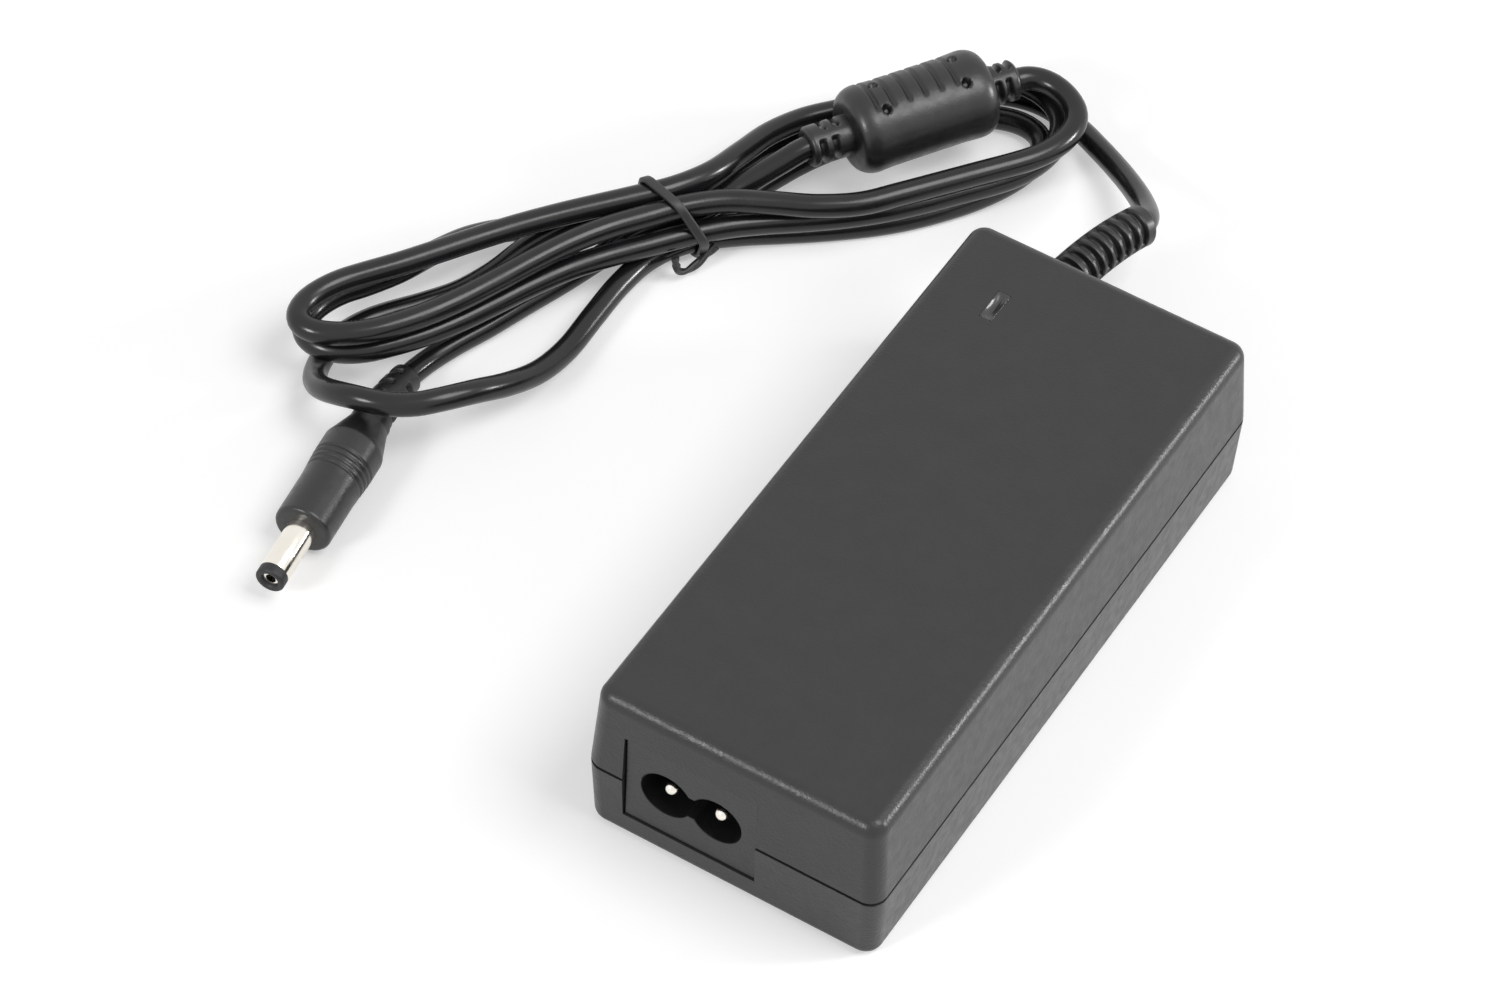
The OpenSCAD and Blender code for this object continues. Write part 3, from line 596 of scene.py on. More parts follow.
def smooth_path(points: Sequence[Vector], step: float) -> list[Vector]:
    """Run one smooth curve through the points.

    Args:
        points: Points of the route.
        step: Largest distance between points of the result.

    Returns:
        The curve's points.
    """
    ends = [points[0] * 2 - points[1], *points, points[-1] * 2 - points[-2]]
    made = []
    for a, b, c, d in zip(ends, ends[1:], ends[2:], ends[3:]):
        t0 = 0.0
        t1 = t0 + (b - a).length ** 0.5
        t2 = t1 + (c - b).length ** 0.5
        t3 = t2 + (d - c).length ** 0.5
        count = max(1, math.ceil((c - b).length / step))
        for i in range(count):
            t = t1 + (t2 - t1) * i / count
            ab = between(a, b, t0, t1, t)
            bc = between(b, c, t1, t2, t)
            cd = between(c, d, t2, t3, t)
            abc = between(ab, bc, t0, t2, t)
            bcd = between(bc, cd, t1, t3, t)
            made.append(between(abc, bcd, t1, t2, t))
    return [*made, points[-1]]


def bezier(a: Vector, b: Vector, c: Vector, d: Vector, count: int) -> list[Vector]:
    """Sample a cubic curve.

    Args:
        a: Its start.
        b: Its first pull.
        c: Its second pull.
        d: Its end.
        count: Number of steps.

    Returns:
        The curve's points, both ends included.
    """
    made = []
    for i in range(count + 1):
        t = i / count
        made.append(
            a * (1 - t) ** 3 + b * (3 * t * (1 - t) ** 2) + c * (3 * t * t * (1 - t)) + d * t**3
        )
    return made


def smoothstep(low: float, high: float, x: float) -> float:
    """Return a smooth share from 0 at low to 1 at high."""
    t = min(1.0, max(0.0, (x - low) / (high - low)))
    return t * t * (3 - 2 * t)


def falloff(low: float, high: float, x: float) -> float:
    """Return a smooth share from 1 at low to 0 at high."""
    return 1 - smoothstep(low, high, x)


def wrap(angle: float) -> float:
    """Return the angle brought between minus and plus half a turn."""
    return (angle + math.pi) % (2 * math.pi) - math.pi


def set_down(
    piece: bpy.types.Object,
    finish: Finish,
    stands_for: Sequence[str],
    sharp_deg: float = 40.0,
    even: bool = False,
) -> bpy.types.Object:
    """Scale a piece to metres, shade it, dress it and tie it to the frame.

    Args:
        piece: The piece, in millimetres.
        finish: Its finish.
        stands_for: The frame's nodes that it replaces.
        sharp_deg: Edges that turn more than this stay crisp.
        even: Whether large faces keep flat shading beside rounded edges.

    Returns:
        The piece.
    """
    piece.data.transform(Matrix.Scale(MM, 4))
    piece.data.shade_smooth()
    piece.data.set_sharp_from_angle(angle=math.radians(sharp_deg))
    if even:
        level = piece.modifiers.new("even", "WEIGHTED_NORMAL")
        level.keep_sharp = True
    if piece.data.materials:
        piece.data.materials[0] = finish.material()
    else:
        piece.data.materials.append(finish.material())
    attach(piece, ROOT)
    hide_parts(*stands_for)
    log.info("%s: %d faces, %s", piece.name, len(piece.data.polygons), finish.name)
    return piece


# ---- slotted reliefs


@dataclass(frozen=True)
class SlotShape:
    """The shape of one slot in a strain relief.

    It reaches half_arc_deg to each side of its middle, and the first row's middle lies at
    turn_deg. edge and edge_deg are half the widths of its soft edges, along and round the relief.
    """

    depth: float
    width: float
    half_arc_deg: float
    turn_deg: float
    edge: float = 0.22
    edge_deg: float = 7.0


@dataclass(frozen=True)
class Slots:
    """Two rows of slots in a strain relief, half a step apart, with a spine between them."""

    start: float
    stop: float
    pitch: float
    shape: SlotShape

    def cut(self, at: float, angle: float) -> float:
        """Give the depth of the slots at one place.

        Args:
            at: Distance along the relief.
            angle: Angle round it.

        Returns:
            The depth, in millimetres.
        """
        if not self.start < at < self.stop:
            return 0.0
        shape, half, arc = self.shape, self.shape.width / 2, self.shape.half_arc_deg
        deepest = 0.0
        for row in (0, 1):
            middle = math.radians(shape.turn_deg + 180.0 * row)
            off = abs(math.degrees(wrap(angle - middle)))
            across = falloff(arc - shape.edge_deg, arc + shape.edge_deg, off)
            first = self.start + self.pitch * (1 + row) / 2
            centre = first + round((at - first) / self.pitch) * self.pitch
            if self.start <= centre - half and centre + half <= self.stop:
                along = falloff(half - shape.edge, half + shape.edge, abs(at - centre))
                deepest = max(deepest, across * along)
        return shape.depth * deepest


@dataclass(frozen=True)
class Relief:
    """The skin of a strain relief: a taper with a rounded end, less its slots."""

    length: float
    base_r: float
    end_r: float
    rim: float
    slots: Slots

    def radius(self, at: float, angle: float) -> float:
        """Give the skin's radius at one place.

        Args:
            at: Distance along the relief.
            angle: Angle round it.

        Returns:
            The radius, in millimetres.
        """
        out = self.base_r + (self.end_r - self.base_r) * at / self.length
        rim = self.rim * falloff(0, self.rim, self.length - at)
        return out - rim - self.slots.cut(at, angle)


# ---- camera and cord


@dataclass
class Viewpoint:
    """The camera: where it stands and how it is turned."""

    place: Point = (0.2423098, -0.4767648, 0.6726913)
    right: Point = (0.8508498, 0.5247343, 0.0266176)
    down: Point = (0.4180694, -0.6454696, -0.6392081)
    ahead: Point = (-0.3182336, 0.5549981, -0.7685730)
    sensor_mm: float = 36.0
    lens_mm: float = 135.389
    seen_from: float = 0.01
    seen_to: float = 20.0

    def build(self) -> None:
        """Make the camera and let the scene be seen through it."""
        data = bpy.data.cameras.new("viewpoint")
        data.sensor_fit = "HORIZONTAL"
        data.sensor_width = self.sensor_mm
        data.lens = self.lens_mm
        data.clip_start = self.seen_from
        data.clip_end = self.seen_to
        made = placed("viewpoint", data)
        axes = [Vector(self.right), -Vector(self.down), -Vector(self.ahead)]
        turn = Matrix([[a[i] for a in axes] for i in range(3)]).to_4x4()
        made.matrix_world = Matrix.Translation(Vector(self.place)) @ turn
        bpy.context.scene.camera = made
        log.info("camera at %.3f %.3f %.3f", *self.place)


@dataclass(frozen=True)
class Turn:
    """A turn of the hank: its reach, the lengths of its halves and where it climbs."""

    reach: float
    back: float
    front: float
    climb_from: float = 0.0
    climb_to: float = 1.0


@dataclass(frozen=True)
class Run:
    """A run of the hank between its waist and a turn.

    v and z are the place at the turn, and v_from, v_to, z_from and z_to the shares of the run
    between which they change. bow is how far the run swings out at its middle.
    """

    v: float
    z: float
    v_from: float
    v_to: float
    z_from: float
    z_to: float
    bow: float


@dataclass
class Cord:
    """The whole cord: the lead, the tied hank and the last run to the plug."""

    diameter: float = 3.9
    strand_gap: float = 0.45
    lift: float = 1.1
    waist: Span = (-74.3, 48.1)
    turn_deg: float = 52.6
    rows: tuple[int, int, int] = (2, 3, 2)
    waist_shift: float = 0.5
    entry_u: float = 40.0
    entry: Run = Run(-14.1, 1.95, 0.02, 0.64, 0.06, 0.66, 0.0)
    left_turns: tuple[Turn, ...] = (
        Turn(65, 16, 15, 0.28, 0.78),
        Turn(63.8, 11.6, 10),
        Turn(64.9, 12, 12),
    )
    right_turns: tuple[Turn, ...] = (
        Turn(63.7, 15.8, 22),
        Turn(66.9, 13, 16),
        Turn(67.6, 6.2, 13, 0.0, 0.9),
    )
    left_back: tuple[Run, ...] = (
        Run(0.2, 1.95, 0.15, 0.9, 0.35, 0.75, -0.5),
        Run(-2.7, 6.7, 0.05, 0.95, 0.33, 0.85, -6.6),
        Run(-1, 11.3, 0.1, 1, 0, 1, -1),
    )
    left_front: tuple[Run, ...] = (
        Run(28, 11.7, 0, 1, 0.45, 1, 2.4),
        Run(10.9, 7.1, 0.25, 0.95, 0.2, 1, 0),
        Run(10.9, 11.5, 0.2, 1, 0, 1, 0.3),
    )
    right_back: tuple[Run, ...] = (
        Run(-9.7, 1.95, 0, 0.7, 0, 0.5, 0),
        Run(-12.9, 6.5, 0, 0.53, 0, 0.58, -0.4),
        Run(-5.2, 12, 0, 1, 0, 1, 0),
    )
    right_front: tuple[Run, ...] = (
        Run(9, 1.95, 0, 0.95, 0, 0.5, 0),
        Run(10, 6.3, 0, 0.75, 0, 0.5, 0),
        Run(10.9, 10.8, 0, 0.55, 0, 0.5, 0),
    )
    exit_point: Point = CORD_EXIT
    relief_pulls: tuple[Point, Point] = ((-12.6, 65.2, 14.5), (-10, 74.8, 15.6))
    lead: tuple[Point, ...] = (
        (-8, 81.3, 13.8), (-8.4, 83.7, 12.6), (-9.8, 86.4, 11), (-12.2, 89.5, 9.2),
        (-15.8, 93.1, 7.3), (-20.5, 97, 5.3), (-26.2, 100.8, 3.7), (-32.3, 104, 2.6),
        (-40.2, 105.7, 2.1), (-46.9, 104, 1.95), (-52.7, 99.6, 1.95),
    )
    plug_lead_high: tuple[Point, ...] = (
        (-64.3, 63.8, 11.3), (-66.2, 60.8, 10.1), (-68, 57.8, 8.9), (-69.8, 54.1, 7.8),
    )
    plug_lead_low: tuple[Point, ...] = (
        (-76.9, 43.8, 6.7), (-79.1, 40.4, 5.4), (-80.8, 37.3, 4), (-82.7, 33.7, 2.7),
        (-84.5, 29.5, 1.95), (-86.9, 22.5, 1.95), (-89.2, 15.4, 1.95), (-91.4, 9.6, 1.95),
        (-92.9, 4.5, 2),
    )
    ferrite_length: float = 24.6
    ferrite_rims: tuple[Point, Point] = ((30.2, -2.66, 12.5), (54.8, -4.65, 12.5))
    ferrite_straight: float = 7.5
    entry_straight: float = 6.0
    plug_pass_u: Span = (3.5, -1.0)
    run_steps: int = 8
    turn_steps: int = 14
    relief_steps: int = 6
    path_step: float = 1.2
    sides: int = 24

    @property
    def radius(self) -> float:
        """Return half the cord's diameter."""
        return self.diameter / 2

    @property
    def pitch(self) -> float:
        """Return the distance between neighbouring strands at the waist."""
        return self.diameter + self.strand_gap

    def slot(self, row: int, col: int) -> Span:
        """Return the v and z of one strand's place at the waist."""
        across = (col - (self.rows[row] - 1) / 2) * self.pitch + self.waist_shift
        return across, self.radius + row * self.pitch + self.lift

    def place(self, p: Sequence[float]) -> Vector:
        """Return a point of the hank's own axes in the frame's axes."""
        c, s = math.cos(math.radians(self.turn_deg)), math.sin(math.radians(self.turn_deg))
        return Vector(
            (self.waist[0] + p[0] * c + p[1] * s, self.waist[1] + p[0] * s - p[1] * c, p[2])
        )

    @staticmethod
    def ease(t: float, low: float, high: float) -> float:
        """Return a smooth share of the way from low to high."""
        share = min(1.0, max(0.0, (t - low) / (high - low)))
        return math.sin(math.pi / 2 * share) ** 2

    def run_out(self, side: int, start: Span, reach: float, run: Run) -> list[Point]:
        """Follow a run from the waist outwards.

        Args:
            side: 1 towards the ferrite, -1 the other way.
            start: The strand's place at the waist.
            reach: How far the run goes.
            run: Its shape.

        Returns:
            Its points, without the last.
        """
        made = []
        for k in range(self.run_steps):
            t = k / self.run_steps
            v = start[0] + (run.v - start[0]) * self.ease(t, run.v_from, run.v_to)
            v += run.bow * math.sin(math.pi * t) ** 2
            z = start[1] + (run.z - start[1]) * self.ease(t, run.z_from, run.z_to)
            made.append((side * reach * t, v, z))
        return made

    def turn(self, side: int, bend: Turn, back: Run, front: Run) -> list[Point]:
        """Follow a turn from its back run to its front run.

        Args:
            side: 1 towards the ferrite, -1 the other way.
            bend: The turn.
            back: The run behind it.
            front: The run in front of it.

        Returns:
            Its points, both ends included.
        """
        made = []
        for k in range(self.turn_steps + 1):
            x = k / self.turn_steps
            angle = math.radians(-90 + 180 * x)
            nose = bend.back if angle < 0 else bend.front
            climb = self.ease(x, bend.climb_from, bend.climb_to)
            made.append(
                (
                    side * (bend.reach - nose + nose * math.cos(angle)),
                    (back.v + front.v) / 2 + (front.v - back.v) / 2 * math.sin(angle),
                    back.z + (front.z - back.z) * climb,
                )
            )
        return made

    def end_loop(
        self, side: int, bend: Turn, back: Run, front: Run, start: Span, stop: Span
    ) -> list[Point]:
        """Go out along the back, round the turn and home along the front.

        Args:
            side: 1 towards the ferrite, -1 the other way.
            bend: The turn.
            back: The run behind.
            front: The run in front.
            start: Place of the back run at the waist.
            stop: Place of the front run at the waist.

        Returns:
            The loop's points.
        """
        out = self.run_out(side, start, bend.reach - bend.back, back)
        home = self.run_out(side, stop, bend.reach - bend.front, front)
        return out + self.turn(side, bend, back, front) + home[::-1]

    def hank(self) -> list[Vector]:
        """Follow the hank from its first strand on the floor to the ferrite.

        Returns:
            Its points in the frame's axes.
        """
        backs = [self.slot(1, 0), self.slot(0, 0), self.slot(2, 0)]
        fronts = [self.slot(0, 1), self.slot(1, 2), self.slot(2, 1)]
        made: list[Point] = [(self.entry_u, self.entry.v, self.entry.z)]
        made += self.run_out(1, backs[0], self.entry_u, self.entry)[::-1]
        for i, bend in enumerate(self.left_turns):
            shape = (self.left_back[i], self.left_front[i], backs[i], fronts[i])
            made += self.end_loop(-1, bend, *shape)[1:]
            if i < 2:
                shape = (self.right_back[i], self.right_front[i], backs[i + 1], fronts[i])
                made += self.end_loop(1, self.right_turns[i], *shape)[::-1][1:]
        bend = self.right_turns[2]
        made += self.run_out(1, fronts[2], bend.reach - bend.front, self.right_front[2])[1:]
        made += self.turn(1, bend, self.right_back[2], self.right_front[2])[::-1]
        return [self.place(p) for p in made]

    @property
    def ferrite_middle(self) -> Vector:
        """Return the middle of the ferrite's moulding."""
        return (self.place(self.ferrite_rims[0]) + self.place(self.ferrite_rims[1])) / 2

    @property
    def ferrite_axis(self) -> Vector:
        """Return the direction from the ferrite's plug side to its hank side."""
        return (self.place(self.ferrite_rims[1]) - self.place(self.ferrite_rims[0])).normalized()

    def relief_line(self, count: int) -> list[Vector]:
        """Return the middle line of the brick's strain relief, in count steps."""
        pulls = [Vector(p) for p in self.relief_pulls]
        return bezier(Vector(self.exit_point), pulls[0], pulls[1], Vector(self.lead[0]), count)

    def route(self, plug_line: Sequence[Vector]) -> list[Vector]:
        """Join the cord's stretches into one smooth curve.

        Args:
            plug_line: The middle line of the plug's strain relief, from the plug outwards.

        Returns:
            The curve's points.
        """
        half = self.ferrite_length / 2
        middle, axis = self.ferrite_middle, self.ferrite_axis
        far = middle - axis * (half + self.ferrite_straight)
        points = self.relief_line(self.relief_steps)
        points += [Vector(p) for p in self.lead[1:]]
        points.append(self.place((self.entry_u + self.entry_straight, self.entry.v, self.entry.z)))
        points += self.hank()
        points += [middle + axis * half, middle - axis * half, far]
        points += [Vector(p) for p in self.plug_lead_high]
        points += [self.place((u, *self.slot(1, 1))) for u in self.plug_pass_u]
        points += [Vector(p) for p in self.plug_lead_low]
        points += list(plug_line)[::-1]
        return smooth_path(points, self.path_step)

    def build(self, plug_line: Sequence[Vector]) -> tuple[bpy.types.Object, list[Vector]]:
        """Make the cord's sheath.

        Args:
            plug_line: The middle line of the plug's strain relief, from the plug outwards.

        Returns:
            The sheath and the route it follows.
        """
        path = self.route(plug_line)
        sheath = sweep("cord", path, self.sides, lambda at, angle: self.radius)
        set_down(sheath, SHEATH, ["dc_cord_lead", "dc_cord_hank", "dc_cord_plug_lead"])
        return sheath, path


# ---- output relief


@dataclass
class OutputRelief:
    """The brick's slotted strain relief, with a stub inside the brick."""

    cord: Cord
    base_r: float = 3.8
    end_r: float = 3.4
    rim: float = 0.5
    stub: float = 1.0
    plain: float = 1.0
    bare_end: float = 0.7
    slots_per_row: int = 11
    slot: SlotShape = SlotShape(depth=0.95, width=1.12, half_arc_deg=79.0, turn_deg=64.0)
    steps: int = 190
    sides: int = 72

    def build(self) -> bpy.types.Object:
        """Make the relief.

        Returns:
            The relief.
        """
        path = self.cord.relief_line(self.steps)
        path = [path[0] + (path[0] - path[1]).normalized() * self.stub, *path]
        total = lengths_along(path)[-1]
        start, stop = self.plain + self.stub, total - self.bare_end
        pitch = (stop - start) / (self.slots_per_row + 0.5)
        slots = Slots(start, stop, pitch, self.slot)
        skin = Relief(total, self.base_r, self.end_r, self.rim, slots)
        relief = sweep("output_relief", path, self.sides, skin.radius)
        return set_down(relief, MOULDING, ["output_strain_relief"], sharp_deg=60)


# ---- tie


@dataclass
class Tie:
    """The flat strap round the hank's waist, with its twisted ends."""

    cord: Cord
    width: float = 1.7
    thickness: float = 0.85
    edge: float = 0.36
    gap: float = 0.15
    lean: float = 0.49
    offset: float = -0.9
    lean_down: Span = (0.794, -0.608)
    steps: int = 96
    tails: tuple[Point, ...] = (
        (-3, 7.3, 5.6), (-2.9, 7.6, 3.9), (-2.4, 7.4, 2.3), (-1.2, 7.3, 1.7),
        (0.6, 6.9, 2), (2.7, 6.3, 3), (4.5, 5.9, 4.1),
    )
    tail_r: float = 0.48
    tail_spread: float = 0.5
    tail_twist: float = 9.0
    tail_step: float = 0.35

    def outline(self) -> list[Span]:
        """Give the tight line round all strands, at the strap's middle.

        Returns:
            Points v and z, in order round the strands.
        """
        out = self.cord.radius + self.gap + self.thickness / 2
        ends = ((row, col) for row, count in enumerate(self.cord.rows) for col in (0, count - 1))
        centres = [self.cord.slot(row, col) for row, col in ends]
        made = []
        for i in range(self.steps):
            angle = 2 * math.pi * i / self.steps
            d = (math.cos(angle), math.sin(angle))
            v, z = max(centres, key=lambda c: c[0] * d[0] + c[1] * d[1])
            made.append((v + out * d[0], z + out * d[1]))
        return made

    def strap(self) -> bpy.types.Object:
        """Make the strap, which leans along the cord as it goes down.

        Returns:
            The strap.
        """
        line = self.outline()
        middle = (max(z for _, z in line) + min(z for _, z in line)) / 2
        section = rounded_outline(self.width / 2, self.thickness / 2, self.edge, steps=4)
        rings = []
        for i, (v, z) in enumerate(line):
            before, after = line[i - 1], line[(i + 1) % len(line)]
            run = Vector((0, after[0] - before[0], after[1] - before[1])).normalized()
            out = Vector((0, run.z, -run.y))
            down = (v - self.cord.waist_shift) * self.lean_down[0]
            down += (z - middle) * self.lean_down[1]
            centre = Vector((self.offset + self.lean * down, v, z))
            ring = [centre + Vector((a, 0, 0)) + out * b for a, b in section]
            rings.append([self.cord.place(p) for p in ring])
        return loft("tie", rings, loop=True)

    def tail(self, phase: float) -> bpy.types.Object:
        """Make one of the two ends, which wind round each other.

        Args:
            phase: Where it starts round their middle line, as an angle.

        Returns:
            The end.
        """
        path = smooth_path([self.cord.place(p) for p in self.tails], self.tail_step)
        at = lengths_along(path)
        strand = []
        for i, centre in enumerate(path):
            side, up = cross_axes(heading_at(path, i))
            angle = phase + self.tail_twist * (at[i] / at[-1])
            out = side * math.cos(angle) + up * math.sin(angle)
            strand.append(centre + out * self.tail_r * self.tail_spread)
        return sweep("tie_end", strand, sides=12, radius=lambda at, angle: self.tail_r)

    def build(self) -> bpy.types.Object:
        """Make the strap and its ends as one piece.

        Returns:
            The tie.
        """
        tie = self.strap()
        for phase in (0.0, math.pi):
            combine(tie, self.tail(phase), "UNION")
        return set_down(tie, STRAP, ["cord_tie"], sharp_deg=50)


# ---- ferrite


@dataclass(frozen=True)
class Collar:
    """One end of the ferrite's moulding: its slotted collar and the body's rounded rim.

    rim is the rounding's length along the body and how far it draws the body in.
    """

    length: float
    bare_end: float
    pitch: float
    slot: SlotShape
    rim: Span


@dataclass
class FerriteMoulding:
    """The moulding round the ferrite core, with a slotted collar at each end.

    Places along it are distances from its middle towards the hank. The far collar is on the
    plug's side.
    """

    cord: Cord
    end_r: float = 7.35
    middle_r: float = 7.2
    middle_fade: Span = (3.0, 6.2)
    far: Collar = Collar(7.3, 0.6, 2.3, SlotShape(0.95, 1.0, 74.0, -20.0), rim=(3.2, 2.2))
    near: Collar = Collar(5.5, 0.5, 1.9, SlotShape(0.95, 0.9, 74.0, -20.0), rim=(2.8, 1.8))
    collar_r: float = 3.4
    collar_plain: float = 0.5
    collar_edge: float = 0.35
    collar_edge_l: float = 0.4
    marks_at: Span = (-7.0, 7.3)
    mark_sides: Span = (-3.1, 2.4)
    mark_edge: Span = (0.5, 0.85)
    mark_depth: float = 1.25
    grooves: int = 6
    groove_first: float = -8.4
    groove_pitch: float = 2.85
    groove_from: Span = (-3.3, -2.1)
    groove_to: Span = (8.0, 9.0)
    groove_edge: Span = (0.15, 0.5)
    groove_depth: float = 0.5
    bore_fit: float = 0.02
    ring_step: float = 0.22
    sides: int = 144

    @property
    def half(self) -> float:
        """Return half the body's length."""
        return self.cord.ferrite_length / 2

    def outline(self) -> list[Span]:
        """Give the moulding's profile, from the far collar's end to the near one's.

        Returns:
            Distance from the middle and radius of each ring.
        """
        half, fit, step = self.half, self.bore_fit, self.ring_step
        far, near = -half - self.far.length, half + self.near.length
        bore = self.cord.radius + fit
        return [
            (far, bore),
            *((at, self.collar_skin(at - far)) for at in stations(far, -half, step)),
            (-half + fit, self.body_r(-half)),
            *((at, self.body_r(at)) for at in stations(-half, half, step)[1:-1]),
            (half - fit, self.body_r(half)),
            *((at, self.collar_skin(near - at)) for at in stations(half, near, step)),
            (near, bore),
        ]

    def collar_skin(self, inside: float) -> float:
        """Return a collar's radius at a distance from its end."""
        return self.collar_r - self.collar_edge * falloff(0, self.collar_edge_l, inside)

    def body_r(self, at: float) -> float:
        """Give the body's radius.

        Args:
            at: Distance from the middle.

        Returns:
            The radius, with the waist and the rounded rims.
        """
        inside = self.half - abs(at)
        out = self.middle_r + (self.end_r - self.middle_r) * falloff(*self.middle_fade, inside)
        run, drop = self.near.rim if at > 0 else self.far.rim
        share = max(0.0, min(1.0, (run - inside) / run))
        return out - drop * (1 - math.sqrt(1 - share**2))

    def slots(self, side: int) -> Slots:
        """Give the slots of one collar.

        Args:
            side: 1 for the near collar, -1 for the far one.

        Returns:
            The slots.
        """
        collar = self.near if side > 0 else self.far
        inner = side * (self.half + self.collar_plain)
        outer = side * (self.half + collar.length - collar.bare_end)
        return Slots(min(inner, outer), max(inner, outer), collar.pitch, collar.slot)

    def carve(self, at: float, angle: float) -> float:
        """Give the depth of marks, cross grooves and collar slots at one place.

        Args:
            at: Distance from the middle.
            angle: Angle round the moulding.

        Returns:
            The depth, in millimetres.
        """
        if abs(at) > self.half + self.bore_fit / 2:
            return self.slots(1 if at > 0 else -1).cut(at, angle)
        across = self.middle_r * wrap(angle - math.pi / 2)
        marks = ((at - mark, across - side) for mark in self.marks_at for side in self.mark_sides)
        holes = max(falloff(*self.mark_edge, math.hypot(*off)) for off in marks)
        first, pitch = self.groove_first, self.groove_pitch
        off = min(abs(at - first - pitch * i) for i in range(self.grooves))
        ends = smoothstep(*self.groove_from, across) * falloff(*self.groove_to, across)
        lines = falloff(*self.groove_edge, off) * ends
        return max(self.mark_depth * holes, self.groove_depth * lines)

    def build(self) -> bpy.types.Object:
        """Make the moulding.

        Returns:
            The moulding.
        """
        middle, axis, sides = self.cord.ferrite_middle, self.cord.ferrite_axis, self.sides
        piece = turned("ferrite_moulding", middle, axis, self.outline(), sides, True, self.carve)
        return set_down(piece, MOULDING, ["ferrite_overmould"], sharp_deg=60)


# ---- plug


